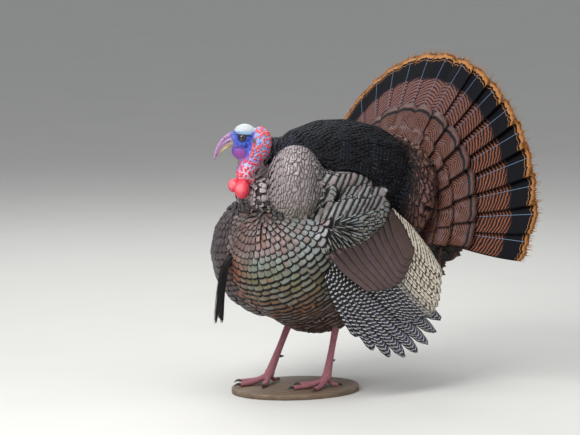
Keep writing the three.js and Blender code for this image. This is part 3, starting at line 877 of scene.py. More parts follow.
def head_skin(s):
    """The bare skin of the head and neck: its places, quads and the colour of each place."""
    shape = head_shapes()
    for at, half in (
        ((12, -162, 466), (19, 16.5, 21.5)),
        ((-15, -168, 473), (14.5, 12.5, 16)),
    ):
        add_lobe(shape, at, half)
    places, quads, normals = melted(shape, 1.35, 5)
    local = (places - HEAD_AT) @ HEAD
    x, y, z = local.T
    height = places[:, 2]
    wattles = np.zeros(len(places))
    for at in ((12, -162, 466), (-15, -168, 473)):
        wattles = np.maximum(wattles, soft(np.linalg.norm(places - at, axis=1), 29, 23))
    crown = soft(np.hypot((y + 13) / 27, (z - 27) / 17), 1.0, 0.86) * soft(z, 12, 15)
    nape = soft(y - 0.25 * (z + 5), 2, 9) * soft(height, 520, 535) * (1 - crown)
    neck = soft(height, 542, 526)
    beaded = np.clip(np.maximum(nape, neck) * (1 - wattles), 0, 1)
    cells = np.array(
        [
            noise.voronoi(Vector((p[0] / 6.5, p[1] / 6.5, p[2] / 4.6)), distance_metric="DISTANCE")[0][0]
            for p in places
        ]
    )
    bead = 1 - soft(cells, 0.15, 0.62)
    folds = np.array([noise.fractal(Vector(p) * 0.16, 0.9, 2.1, 4) for p in places])
    warts = np.array([noise.fractal(Vector(p) * 0.3, 0.8, 2.2, 3) for p in places])
    throat = soft(np.hypot(y + 27, z + 36), 27, 18)
    away = np.hypot(y - EYE[1], z - EYE[2])
    face = soft(y, 8, 2) * soft(z, 12, 6) * soft(z, -30, -20)
    height_out = beaded * (2.0 * bead - 0.6)
    height_out += (1 - beaded) * (0.35 * folds + 0.45 * face * warts * soft(away, 9, 14))
    height_out += crown * 0.5 + wattles * (0.35 * warts + 0.25 * folds)
    places = places + normals * height_out[:, None]

    blue = blend(s.face_blue, tone("6C7FD0"), soft(folds, -0.2, 0.5) * 0.6)
    colours = blend(blue, tone("5563B4"), soft(y, -26, -40))
    colours = blend(colours, s.throat, throat)
    rosy = soft(np.hypot(y + 26, (z + 30) * 1.4), 17, 5) * soft(warts, -0.5, 0.2)
    colours = blend(colours, tone("B03C80"), throat * rosy * 0.85)
    colours = blend(colours, tone("3B3C9C"), throat * soft(warts, 0.1, 0.6) * 0.5)
    colours = blend(colours, tone("10122E"), soft(away, 12, 9.2) * 0.9)
    under_brow = soft(np.abs(z - 12.5 + 0.1 * (y + 20)), 2.2, 1.0) * soft(np.abs(y + 15), 20, 15)
    groove = blend(tone("9DB6E0"), tone("4A58B0"), soft(warts, -0.3, 0.4) * 0.8)
    red = blend(tone("E0503F"), tone("D8324A"), soft(height, 560, 520))
    beads = blend(groove, red, soft(bead, 0.06, 0.22))
    front = soft(height, 540, 500)
    pale = blend(tone("D9CBDD"), s.wattle, soft(bead, 0.02, 0.2))
    beads = blend(beads, pale, front)
    violet = soft(y, -14, -30) * soft(height, 500, 516) * soft(height, 546, 530)
    beads = blend(beads, tone("8B4C9C"), violet * 0.65)
    colours = blend(colours, beads, np.maximum(nape, neck))
    colours = blend(colours, blend(s.crown, tone("6C98C4"), soft(z, 27, 15) * 0.8), crown)
    colours = blend(colours, tone("0E1024"), under_brow * soft(np.abs(x), 8, 11))
    lobes = blend(s.wattle, tone("EE7A82"), soft(warts + folds, 0.1, 0.9) * 0.45)
    # Painted highlights: a pale pink spot on the front of each lobe of the caruncle.
    for at in ((20, -172, 470), (-8, -180, 478)):
        shine = soft(np.linalg.norm(places - at, axis=1), 15, 5)
        lobes = blend(lobes, tone("F5BDBC"), shine * 0.3)
    colours = blend(colours, s.umber, soft(height, 476, 466))
    colours = blend(colours, lobes, wattles)
    hanging = soft(y, -42, -50) * soft(z, -66, -58)
    streak = blend(s.snood, tone("8E5A9C"), soft(warts, 0, 0.5))
    colours = blend(colours, streak, hanging)
    ear = soft(np.hypot(y - 9, (z + 1) * 0.8), 5.5, 3) * soft(np.abs(x), 10, 13)
    colours = blend(colours, tone("4A4434"), ear * 0.9)
    return places, quads, colours


def toe_path(leg, name, turn, reach):
    """The middle line of a toe."""
    angle = math.radians(leg["side"] * turn + leg["yaw"])
    ahead = np.array((math.sin(angle), -math.cos(angle), 0))
    start = np.array(leg["ankle"], float)
    heights = (start[2] * (0.9 if name == "hind" else 1), TOE_RADIUS + 5, TOE_RADIUS - 0.6, 4.9)
    path = [start + ahead * t * reach for t in (0, 0.3, 0.62, 1)]
    return [(p[0], p[1], h) for p, h in zip(path, heights)]


def leg_skin(s):
    """Scaled skin of both legs: places, quads and colours."""
    shape = bmesh.new()
    for leg in LEGS.values():
        ankle, hock = np.array(leg["ankle"], float), np.array(leg["hock"], float)
        line = [hock + (hock - ankle) * 0.12, hock, (hock + ankle) / 2, ankle]
        add_limb(shape, line, [9, 10, 7.6, 10.4], up=(1, 0, 0), steps=36)
        add_lobe(shape, leg["ankle"], (11.6, 11.6, 12))
        for name, turn, reach in TOES:
            size = 5.2 if name == "hind" else TOE_RADIUS
            radii = [size * k for k in (1.15, 0.95, 0.98, 0.9, 0.96, 0.84, 0.78)]
            add_limb(shape, spline(toe_path(leg, name, turn, reach), 7), radii, steps=40)
    places, quads, normals = melted(shape, 1.7, 3)
    rings = np.sin(places[:, 2] * 2 * np.pi / 5.2) * soft(places[:, 2], 26, 36)
    places = places + normals * (0.35 * rings)[:, None]
    places[:, 2] = np.maximum(places[:, 2], 0.0)
    shade = soft(places[:, 2], 0, 150)
    colours = blend(s.leg, blend(s.leg, tone("7E4558"), np.full(len(places), 0.6)), shade * 0.25)
    return places, quads, colours


class TURKEY_OT_skin(bpy.types.Operator):
    """One skin for the body, the bare head and neck, and the legs"""

    bl_idname = "turkey.skin"
    bl_label = "Skin"

    def execute(self, context):
        s = context.scene.turkey
        body, body_quads, _ = body_skin(s)
        parts = [
            (body, body_quads, skin_colours(body), 0),
            (*head_skin(s), 1),
            (*leg_skin(s), 2),
        ]
        places, faces, slots, start = [], [], [], 0
        for at, quads, _, slot in parts:
            places.append(at)
            faces.append(quads + start)
            slots.append(np.full(len(quads), slot))
            start += len(at)
        tones = with_alpha(np.vstack([colours for _, _, colours, _ in parts]))
        finishes = [hide_finish(), bare_finish(), leg_finish()]
        skin = new_piece(
            "skin", np.vstack(places), np.vstack(faces), finishes, {"tone": tones}, np.concatenate(slots)
        )
        pairs = [f"{part}_{side}" for part in PAIRED_FLESH for side in ("left", "right")]
        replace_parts(skin, *FLESH, *pairs, "wing_left_coverts", "wing_right_coverts")
        return {"FINISHED"}


# ---------------------------------------------------------------- eyes and bill
class TURKEY_OT_eyes(bpy.types.Operator):
    """Both eyes, each a flattened ball with an iris and a pupil"""

    bl_idname = "turkey.eyes"
    bl_label = "Eyes"

    def execute(self, context):
        finish = eye_finish()
        for name, side in (("left", 1), ("right", -1)):
            middle = np.array((side * EYE[0], EYE[1], EYE[2]))
            shape = bmesh.new()
            add_lobe(shape, middle, (6.0, 7.3, 7.3), turn=HEAD, origin=HEAD_AT)
            places, quads, _ = melted(shape, 0.5, 2)
            local = (places - HEAD_AT) @ HEAD - middle
            out = np.hypot(local[:, 1], local[:, 2])
            tones = blend(tone("030203"), tone("4E2614"), soft(out, 3.9, 4.3))
            tones = blend(tones, tone("1A0D0A"), soft(out, 5.4, 6.2))
            eye = new_piece(f"eyeball_{name}", places, quads, [finish], {"tone": with_alpha(tones)})
            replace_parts(eye, f"eye_{name}")
        return {"FINISHED"}


class TURKEY_OT_bill(bpy.types.Operator):
    """The two halves of the bill"""

    bl_idname = "turkey.bill"
    bl_label = "Bill"

    def execute(self, context):
        s = context.scene.turkey
        finish = bill_finish()
        head = {"turn": HEAD, "origin": HEAD_AT}
        upper = bmesh.new()
        line = [(0, -30, 1), (0, -45, -2.5), (0, -56, -8), (0, -66, -17), (0, -72, -27), (0, -75.6, -37)]
        add_limb(upper, line, [10.4, 9.4, 8.4, 6.6, 4.4, 1.2], flat=1.06, steps=40, **head)
        lower = bmesh.new()
        line = [(0, -28, -11), (0, -44, -13), (0, -56, -18), (0, -64.5, -24.4), (0, -70, -31.5)]
        add_limb(lower, line, [8.2, 6.8, 5.2, 3.6, 0.9], flat=0.5, steps=36, **head)
        for name, shape in (("upper", upper), ("lower", lower)):
            places, quads, normals = melted(shape, 0.7, 3)
            x, y, z = ((places - HEAD_AT) @ HEAD).T
            if name == "upper":
                middle = np.interp(-y, (30, 45, 56, 66, 72, 75.6), (1, -2.5, -8, -17, -27, -37))
                edge = soft(z - middle, -1, -5)
                tones = blend(tone("8C6E92"), s.horn, np.clip(edge * 0.8, 0, 1))
                slot = np.hypot((y + 50) / 5.5, (z - middle - 1.2) / 1.7)
                pit = soft(slot, 1.0, 0.5) * soft(np.abs(x), 3, 5)
                places = places - normals * (1.3 * pit)[:, None]
                tones = blend(tones, tone("241418"), pit)
            else:
                tones = blend(tone("D9CB94"), tone("94727A"), soft(-y, 58, 46))
            piece = new_piece(f"bill_half_{name}", places, quads, [finish], {"tone": with_alpha(tones)})
            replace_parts(piece, f"bill_{name}")
        return {"FINISHED"}


# ---------------------------------------------------------------- body feathers
def owners():
    """A tree of faces for each node that carries body feathers."""
    names = ["trunk", "under_tail"]
    names += [f"{part}_{side}" for part in ("mantle", "scapulars", "thigh") for side in ("left", "right")]
    names += ["wing_left_coverts", "wing_right_coverts"]
    trees = {name: surface(*solid(name)) for name in names}
    return trees | {"ruff_left": surface(*ruff(1)), "ruff_right": surface(*ruff(-1))}


def body_tree():
    """A tree of the skin's faces, without the head and the legs."""
    mesh = bpy.data.objects["skin"].data
    places = np.empty(len(mesh.vertices) * 3)
    mesh.vertices.foreach_get("co", places)
    corners = np.empty(len(mesh.loops), int)
    mesh.loops.foreach_get("vertex_index", corners)
    slots = np.empty(len(mesh.polygons), int)
    mesh.polygons.foreach_get("material_index", slots)
    quads = corners.reshape(-1, 4)[slots == 0]
    return surface((places.reshape(-1, 3) - ORIGIN) * 1000, quads)


def on_back(place):
    """Whether a place on the trunk belongs to the black back and not to the breast."""
    return place[2] >= 420 and place[1] > -75


RUFF_FOOT = 440


def on_ruff(place):
    """Whether a place lies so high beside the neck that the mantle's small feathers cover it."""
    return place[2] > RUFF_FOOT and -160 < place[1] < -80 and abs(place[0]) < 70


def ring_at(tree, centre, axes, angle, turns, reach):
    """Places on the skin all round a tract's pole, at an angle from it."""
    pole, first, second = axes
    slope = math.radians(angle)
    ring = []
    for turn in turns:
        ray = math.cos(slope) * pole + math.sin(slope) * (math.cos(turn) * first + math.sin(turn) * second)
        hit = tree.ray_cast(Vector(centre), Vector(ray))
        away = hit[3] if hit[0] is not None else reach
        ring.append(centre + ray * min(away, reach))
    return np.array(ring)


def shingle(tree, trees, tract):
    """Roots of a tract's feathers in staggered rings round its pole, each with its way and its row."""
    centre = np.array(tract["centre"], float)
    pole = unit(np.array(tract["pole"], float))
    first = unit(np.cross(pole, (0.3, 0.9, 0.2)))
    second = np.cross(pole, first)
    axes, reach = (pole, first, second), tract["reach"]
    turns = np.linspace(0, 2 * np.pi, 72, endpoint=False)
    angle, odd, found = tract["rows"][0], False, []
    while angle < tract["rows"][1]:
        share = (angle - tract["rows"][0]) / (tract["rows"][1] - tract["rows"][0])
        step, wide = (np.interp(share, *tract[key]) for key in ("step", "wide"))
        slope = math.radians(angle)
        ring = ring_at(tree, centre, axes, angle, turns, reach)
        further = ring_at(tree, centre, axes, angle + 1, turns, reach)
        arc = np.linalg.norm(np.roll(ring, -1, axis=0) - ring, axis=1)
        total = arc.sum()
        count = max(3, int(total / wide))
        ends = np.concatenate([[0], np.cumsum(arc)])
        marks = (np.arange(count) + (0.5 if odd else 0)) * total / count
        for turn in np.interp(marks, ends, np.append(turns, 2 * np.pi)):
            level = math.cos(turn) * first + math.sin(turn) * second
            ray = math.cos(slope) * pole + math.sin(slope) * level
            hit, normal, _, away = tree.ray_cast(Vector(centre), Vector(ray))
            if hit is None or away > reach:
                continue
            near = min(trees, key=lambda name: trees[name].find_nearest(hit)[3])
            if near == "trunk" and on_ruff(hit):
                near = "ruff_left" if hit[0] > 0 else "ruff_right"
            if near not in tract["nodes"] or not tract["keep"](np.array(hit)):
                continue
            way = math.cos(slope) * level - math.sin(slope) * pole + np.array(tract["drift"])
            found.append((np.array(hit), way, share, step, wide))
        moved = np.linalg.norm(further - ring, axis=1)
        angle += step / max(0.7, float(np.percentile(moved, tract.get("pace", 65))))
        odd = not odd
    return [np.array(values, float) for values in zip(*found)]


def laid(tree, roots, ways, lengths, rise, slack, stations=6):
    """Paths from the roots along the skin, which climb through the coat to its outside."""
    n = len(roots)
    paths, outs = np.empty((n, stations, 3)), np.empty((n, stations, 3))
    for i in range(n):
        at, way = Vector(roots[i]), Vector(ways[i])
        step = lengths[i] / (stations - 1)
        for k in range(stations):
            hit, normal, _, _ = tree.find_nearest(at)
            share = k / (stations - 1)
            climb = 0.75 * min(1, share / 0.5) + 0.25 * share
            low = rise[i] * climb - 2.0 * (1 - share)
            stand = (at - hit).dot(normal)
            high = low + slack * share
            at = hit + normal * min(max(stand, low), high)
            paths[i, k], outs[i, k] = at, normal
            flat = way - normal * way.dot(normal)
            flat.normalize()
            way = flat if k == 0 else (way * 0.35 + flat * 0.65).normalized()
            at = at + way * step
    for _ in range(2):
        outs[:, 1:-1] = unit(outs[:, :-2] + 2 * outs[:, 1:-1] + outs[:, 2:])
    return paths, outs


def coat_tracts():
    """The tracts of body feathers: where each is, the size and lie of its feathers, and its look."""
    tracts = []
    tail_front = TAIL_ROOT + TAIL @ np.array((0, -30, 60))
    for name, side in (("left", 1), ("right", -1)):
        tracts.append(
            {
                "name": f"breast_{name}",
                "nodes": {"trunk", f"thigh_{name}", f"ruff_{name}"},
                "centre": (side * 42, -40, 309),
                "pole": (side * 16, -88, 100),
                "rows": (0.4, 168),
                "step": ([0, 0.12, 0.3, 0.5, 1], [10, 15, 17, 18, 16]),
                "wide": ([0, 0.12, 0.26, 0.45, 1], [6.5, 8, 13, 28, 34]),
                "keep": lambda p, side=side: side * p[0] >= 0
                and not on_back(p)
                and not on_ruff(p)
                and before_fan(p) > 60,
                "pace": 45,
                "drift": (0, 0.1, -0.1),
                "reach": 320,
                "long": 2.5,
                "look": "breast",
                "mesh": (6, 7),
            }
        )
        mantle = (106, -78, 484) if side > 0 else (-90, -40, 488)
        tracts.append(
            {
                "name": f"mantle_{name}",
                "nodes": {f"mantle_{name}", f"ruff_{name}"},
                "centre": mantle,
                "pole": (side * -0.6, -0.8, -0.05),
                "rows": (0.4, 152),
                "step": ([0, 0.35, 0.6, 1], [6, 7.5, 10, 13]),
                "wide": ([0, 0.2, 0.5, 1], [8, 12, 20, 28]),
                "keep": lambda p: p[2] > 414 and (on_ruff(p) or abs(p[0]) >= 62 or p[1] > -84),
                "twist": 0.25,
                "loft": 0.7,
                "drift": (0, 0, -0.12),
                "reach": 150,
                "long": 3.2,
                "look": "mantle",
                "mesh": (6, 7),
            }
        )
        tracts.append(
            {
                "name": f"wing_coverts_{name}",
                "nodes": {f"wing_{name}_coverts"},
                "centre": (side * 176, 26, 388),
                "pole": (side * 0.02, -1.0, 0.02),
                "rows": (1, 165),
                "step": ([0, 0.3, 0.7, 1], [12, 18, 25, 28]),
                "wide": ([0, 0.3, 0.7, 1], [5, 7.5, 11, 14]),
                "pace": 55,
                "keep": lambda p: True,
                "drift": (0, 0.0, 0.0),
                "reach": 160,
                "long": 2.7,
                "look": "wing_coverts",
                "mesh": (7, 9),
            }
        )
    tracts.append(
        {
            "name": "back",
            "nodes": {"trunk"},
            "centre": (0, 60, 400),
            "pole": (0, -130, 100),
            "rows": (4, 150),
            "step": ([0, 0.3, 1], [9, 11, 12]),
            "wide": ([0, 0.3, 1], [8, 9, 11]),
            "keep": lambda p: on_back(p) and before_fan(p) >= 96,
            "drift": (0, 0.15, 0),
            "reach": 330,
            "long": 4.2,
            "look": "back",
            "mesh": (6, 5),
            "end": (2.0, 0.16),
        }
    )
    tracts.append(
        {
            "name": "rump",
            "nodes": {"trunk"},
            "centre": tuple(tail_front),
            "pole": tuple(TAIL @ np.array((0, -1, 0))),
            "rows": (28, 140),
            "step": ([0, 1], [8, 8]),
            "wide": ([0, 1], [19, 26]),
            "pace": 93,
            "keep": lambda p: p[1] > 40 and before_fan(p) < 104,
            "drift": (0, 0.5, 0),
            "reach": 290,
            "long": 4.4,
            "look": "rump",
            "mesh": (5, 6),
            "slack": 30,
        }
    )
    tracts.append(
        {
            "name": "vent",
            "nodes": {"under_tail"},
            "centre": (0, 318, 308),
            "pole": (0, -0.962, 0.273),
            "rows": (16, 168),
            "step": ([0, 1], [14, 12]),
            "wide": ([0, 1], [24, 16]),
            "keep": lambda p: True,
            "drift": (0, 0.4, -0.1),
            "reach": 200,
            "long": 3.4,
            "look": "vent",
            "mesh": (6, 7),
        }
    )
    tracts.append(
        {
            "name": "collar",
            "nodes": {"ruff_left", "ruff_right", "trunk", "mantle_left", "mantle_right"},
            "centre": (0, -124, 458),
            "pole": (0, -0.6, 0.8),
            "rows": (18, 135),
            "step": ([0, 1], [7, 9]),
            "wide": ([0, 1], [7, 10]),
            "keep": lambda p: abs(p[0]) < 32 and p[2] > 436 and p[1] < -98,
            "drift": (0, 0, -0.2),
            "reach": 70,
            "long": 3.0,
            "look": "mantle",
            "mesh": (6, 7),
            "twist": 0.25,
            "loft": 0.9,
        }
    )
    return tracts


def looks(kind, roots, share, step, dice):
    """The middle, band and hem colours of each feather of a tract, and the width of its band."""
    s = bpy.context.scene.turkey
    n = len(roots)
    x, y, z = roots.T
    chance, other = dice.random(n), dice.random(n)
    black = np.tile(s.black, (n, 1))
    hem, hem_width, side, glow = black, np.zeros(n), np.full(n, 3.2), None
    if kind == "breast":
        tint = skin_colours(roots)
        # Painted shade, partly the far side's other iridescent colour: feathers on the front of the far side are
        # darker and less glossy, with thin lilac hems.
        far = soft(x, 4, -46) * soft(y, -60, -90)
        glow = blend(blend(s.copper, s.teal, other), tint, 0.2 + 0.7 * far)
        near = soft(share, 0.36, 0.16)
        band, width = black, 0.37 * step * (1 - near) + 1.7 * near
        near = soft(share, 0.22, 0.08)
        side = 9.0 * (1 - near) + 3.5 * near
        tint = blend(tint * 0.88, tone("3A3538"), 0.5 * far)
        hem, hem_width = np.tile(s.lilac, (n, 1)), 1.2 * far
    elif kind == "mantle":
        # Painted reflection: the mantle's silver is the sky mirrored in its iridescent feathers.
        tint = blend(s.silver_sky_reflection, s.teal, 0.3 * other * soft(share, 0.3, 0.8))
        tint = blend(tint, s.olive, soft(z, 468, 405) * 0.75)
        glow = blend(tint, tone("B4A6A4"), chance)
        striped = soft(y, -122, -142) * soft(z, 505, 480)
        tint = blend(tint, s.silver_sky_reflection, striped)
        band = blend(tone("6A6064"), s.black, np.maximum(soft(share, 0.56, 0.8), striped))
        width = np.interp(share, [0, 0.45, 0.7, 1], [0.7, 0.8, 1.6, 3.0])
        side = np.interp(share, [0, 0.4, 0.7], [5.0, 9.0, 9.0]) * (1 - striped) + 2.0 * striped
    elif kind == "wing_coverts":
        # Painted reflection: part of each covert takes the silver of the sky mirrored in its gloss.
        tint = blend(s.teal, s.silver_sky_reflection, chance * 0.6) * 0.92
        tint = blend(tint, blend(s.olive, s.copper, other), soft(z, 400, 335) * 0.85)
        glow = blend(s.olive, s.silver_sky_reflection, other)
        band, width = black, np.full(n, 2.2)
        side = np.full(n, 0.9)
    elif kind == "back":
        tint = black * 0.7
        band = black * 0.7
        hem = blend(np.array(s.back_sheen) * 0.35, s.back_sheen, chance)
        width, hem_width = np.full(n, 1.0), 1.0 * (other > 0.3)
        side = np.full(n, 0.9)
    elif kind == "rump":
        outer = soft(before_fan(roots), 98, 58)
        tint = blend(s.black, s.chestnut, outer * (0.8 + 0.2 * chance))
        glow = blend(tint, s.copper, outer * 0.6)
        band = black
        hem = blend(tint, tone("CBA388"), soft(before_fan(roots), 52, 30) * other)
        width, hem_width = np.full(n, 2.4), 0.8 * outer
        side = np.full(n, 1.6)
    else:
        tint = blend(s.umber, s.black, 0.5 * chance)
        band, width = black, np.full(n, 1.5)
    glow = tint if glow is None else glow
    uneven = 0.14 if kind == "mantle" else 0.34
    tint = tint * (1 + uneven * (dice.random((n, 1)) - 0.5))
    return {
        "tint": with_alpha(np.clip(tint, 0, 1)),
        "glow": with_alpha(glow),
        "band": with_alpha(band, (side / 10)[:, None]),
        "hem": with_alpha(hem, (hem_width / 10)[:, None]),
        "width": width,
    }


# How far the feathers nearest a tract's pole start behind it, so that none of the skin there is bare.
POLE_CROSSING = 8.0


class TURKEY_OT_coat(bpy.types.Operator):
    """The body feathers, tract by tract, shingled over the skin"""

    bl_idname = "turkey.coat"
    bl_label = "Coat"

    def execute(self, context):
        depth = context.scene.turkey.coat_depth * 1000
        tree, trees = body_tree(), owners()
        glossy = contour_finish()
        velvet = contour_finish("velvet_feather", 0.62, 0.0, 0.22)
        for number, tract in enumerate(coat_tracts()):
            dice = np.random.default_rng(40 + number)
            roots, ways, share, step, wide = shingle(tree, trees, tract)
            n = len(roots)
            if n == 0:
                raise RuntimeError(f"no feathers grow on {tract['name']}")
            length = step * tract["long"] * dice.uniform(0.98, 1.02, n)
            ways = unit(ways + dice.normal(0, 0.025, (n, 3)))
            roots = roots + ways * (step * dice.uniform(-0.03, 0.03, n))[:, None]
            roots = roots - ways * (POLE_CROSSING * (share < 0.02))[:, None]
            rise = np.minimum(depth, 0.3 * length) * dice.uniform(0.97, 1.03, n)
            rise = rise * tract.get("loft", 1.0)
            if tract["look"] == "rump":
                length = np.minimum(length, np.maximum(before_fan(roots) - 8, 14))
            paths, outs = laid(tree, roots, ways, length, rise, tract.get("slack", 2.5))
            shape = {
                "rows": tract["mesh"][0],
                "columns": tract["mesh"][1],
                "breadth": spoon(0.5, 0.5),
                "reach": rounded(*tract.get("end", (3.0, 0.08))),
                "cup": 0.03,
                "thick": 0.7,
                "fray": 0.015,
                "twist": tract.get("twist", 0.6),
            }
            look = looks(tract["look"], roots, share, step, dice)
            half = wide * 0.64 * dice.uniform(0.97, 1.03, n)
            places, faces, facts, patch = feathers(paths, outs, length, half, look, shape, dice)
            finish = velvet if tract["look"] == "back" else glossy
            new_piece(f"feathers_{tract['name']}", places, faces, [finish], facts, None, patch)
        return {"FINISHED"}


class TURKEY_OT_scapulars(bpy.types.Operator):
    """Broad upright feathers over the shoulder of each wing, in tiers whose front feathers lie on top"""

    bl_idname = "turkey.scapulars"
    bl_label = "Scapulars"

    def execute(self, context):
        s = context.scene.turkey
        tree = body_tree()
        for name, side in (("left", 1), ("right", -1)):
            dice = np.random.default_rng(61 + side)
            batches = []
            for count, ends, length, half, level in (
                (9, ((-60, 444), (44, 448)), 84, 15, 6.5),
                (11, ((-62, 404), (66, 420)), 92, 14, 8.5),
                (11, ((-70, 372), (60, 400)), 84, 14, 10.5),
            ):
                t = np.linspace(0, 1, count)
                y, z = (np.interp(t, (0, 1), [end[k] for end in ends]) for k in (0, 1))
                starts = np.stack([np.full(count, side * 260.0), y, z + dice.normal(0, 2, count)], -1)
                hits = [tree.ray_cast(Vector(p), Vector((-side, 0, 0)))[0] for p in starts]
                if None in hits:
                    raise RuntimeError(f"the {name} shoulder has no skin under its feathers")
                roots = np.array(hits)
                ways = unit(np.stack([0 * t, 0.45 + 0.35 * t, np.ones(count)], -1))
                lengths = (length - 14 * t) * dice.uniform(0.96, 1.04, count)
                paths, outs = laid(tree, roots, ways, lengths, np.full(count, level), 9.0, 10)
                look = plain_look(count, s.silver_sky_reflection)
                chance, other = dice.random(count), dice.random(count)
                # Painted reflection: the silver in the tint and glow is the sky mirrored in the iridescent
                # feathers.
                tint = blend(blend(s.silver_sky_reflection, s.teal, chance * 0.8), s.olive, 0.4 * other * (1 - t))
                look["tint"] = with_alpha(tint * (0.9 + 0.25 * chance[:, None]))
                look["glow"] = with_alpha(blend(s.copper, s.silver_sky_reflection, np.clip(other + 0.25, 0, 1)))
                look["band"] = with_alpha(np.tile(s.black, (count, 1)), 0.035)
                look["hem"] = with_alpha(np.tile(s.black, (count, 1)), 0.0)
                look["width"] = np.full(count, 2.0)
                shape = {"rows": 12, "columns": 9, "breadth": spoon(0.6, 0.5), "reach": rounded(2.0, 0.14)}
                shape |= {"cup": 0.04, "thick": 0.8, "twist": -side * 3.6, "fray": 0.02}
                batches.append(feathers(paths, outs, lengths, np.full(count, float(half)), look, shape, dice))
            places, faces, facts, patch = gathered(batches)
            finish = bpy.data.materials["contour_feather"]
            new_piece(f"feathers_scapulars_{name}", places, faces, [finish], facts, None, patch)
        return {"FINISHED"}


# ---------------------------------------------------------------- tail
def plain_look(n, tint, width=0.0):
    """A look in one tint, for quills whose material draws the pattern."""
    colours = with_alpha(np.broadcast_to(np.asarray(tint, float), (n, 3)))
    keys = ("tint", "glow", "band", "hem")
    return {key: colours for key in keys} | {"width": np.broadcast_to(width, (n,)) * 1.0}


def fan(count, spacing, sweep, start, length, lift=0.0, stations=8):
    """Straight paths of a fan of feathers round the tail root, and the way each faces."""
    angle = np.radians((np.arange(count) - (count - 1) / 2) * spacing)
    swept = np.radians(sweep + np.where(angle > 0, TAIL_LEFT_SWEEP * np.sin(angle) ** 2, 0))
    along = np.stack([np.sin(angle) * np.cos(swept), np.sin(swept), np.cos(angle) * np.cos(swept)], -1)
    across = np.stack([np.cos(angle), 0 * angle, -np.sin(angle)], -1)
    face = unit(np.cross(across, along))
    reach = length(angle)
    radius = start + (reach - start)[:, None] * np.linspace(0, 1, stations)
    level = lift - 0.25 * np.abs(np.arange(count) - (count - 1) / 2)
    local = along[:, None] * radius[..., None] + (face * level[:, None])[:, None]
    paths = local @ TAIL.T + TAIL_ROOT
    outs = np.broadcast_to((face @ TAIL.T)[:, None], paths.shape)
    return paths, outs, reach - start, angle


def fringe(paths, outs, length, half, reach, dice):
    """Loose barbs past the worn end of each feather of a fan."""
    count = 36
    barb_paths, barb_outs, sizes = [], [], []
    for i in range(len(paths)):
        along = unit(paths[i, -1] - paths[i, 0])
        out = outs[i, -1]
        aside = np.cross(along, out)
        for v in np.linspace(-0.97, 0.97, count) + dice.normal(0, 0.01, count):
            end = paths[i, 0] + along * length[i] * (reach(v) - 0.012) + aside * v * half[i]
            clump = 0.16 * math.sin(9 * v + 2.1 * i)
            way = unit(along + aside * (0.2 * v + clump + dice.normal(0, 0.14)) + out * dice.normal(0, 0.1))
            run = dice.uniform(7, 17) * (1 + 0.3 * math.sin(13 * v + i))
            barb_paths.append([end + way * run * t for t in (0, 0.5, 1)])
            barb_outs.append([out] * 3)
            sizes.append((run, dice.uniform(0.6, 1.1)))
    sizes = np.array(sizes)
    shape = {"rows": 3, "columns": 3, "breadth": lambda t: 1 - 0.85 * t, "reach": rounded(2, 0.0)}
    shape |= {"cup": 0.0, "thick": 0.6}
    look = plain_look(len(sizes), bpy.context.scene.turkey.buff)
    made = feathers(np.array(barb_paths), np.array(barb_outs), sizes[:, 0], sizes[:, 1], look, shape, dice)
    made[2]["vane"][:, 0] = 0.4
    made[2]["vane"][:, 1] = 0.992
    return made


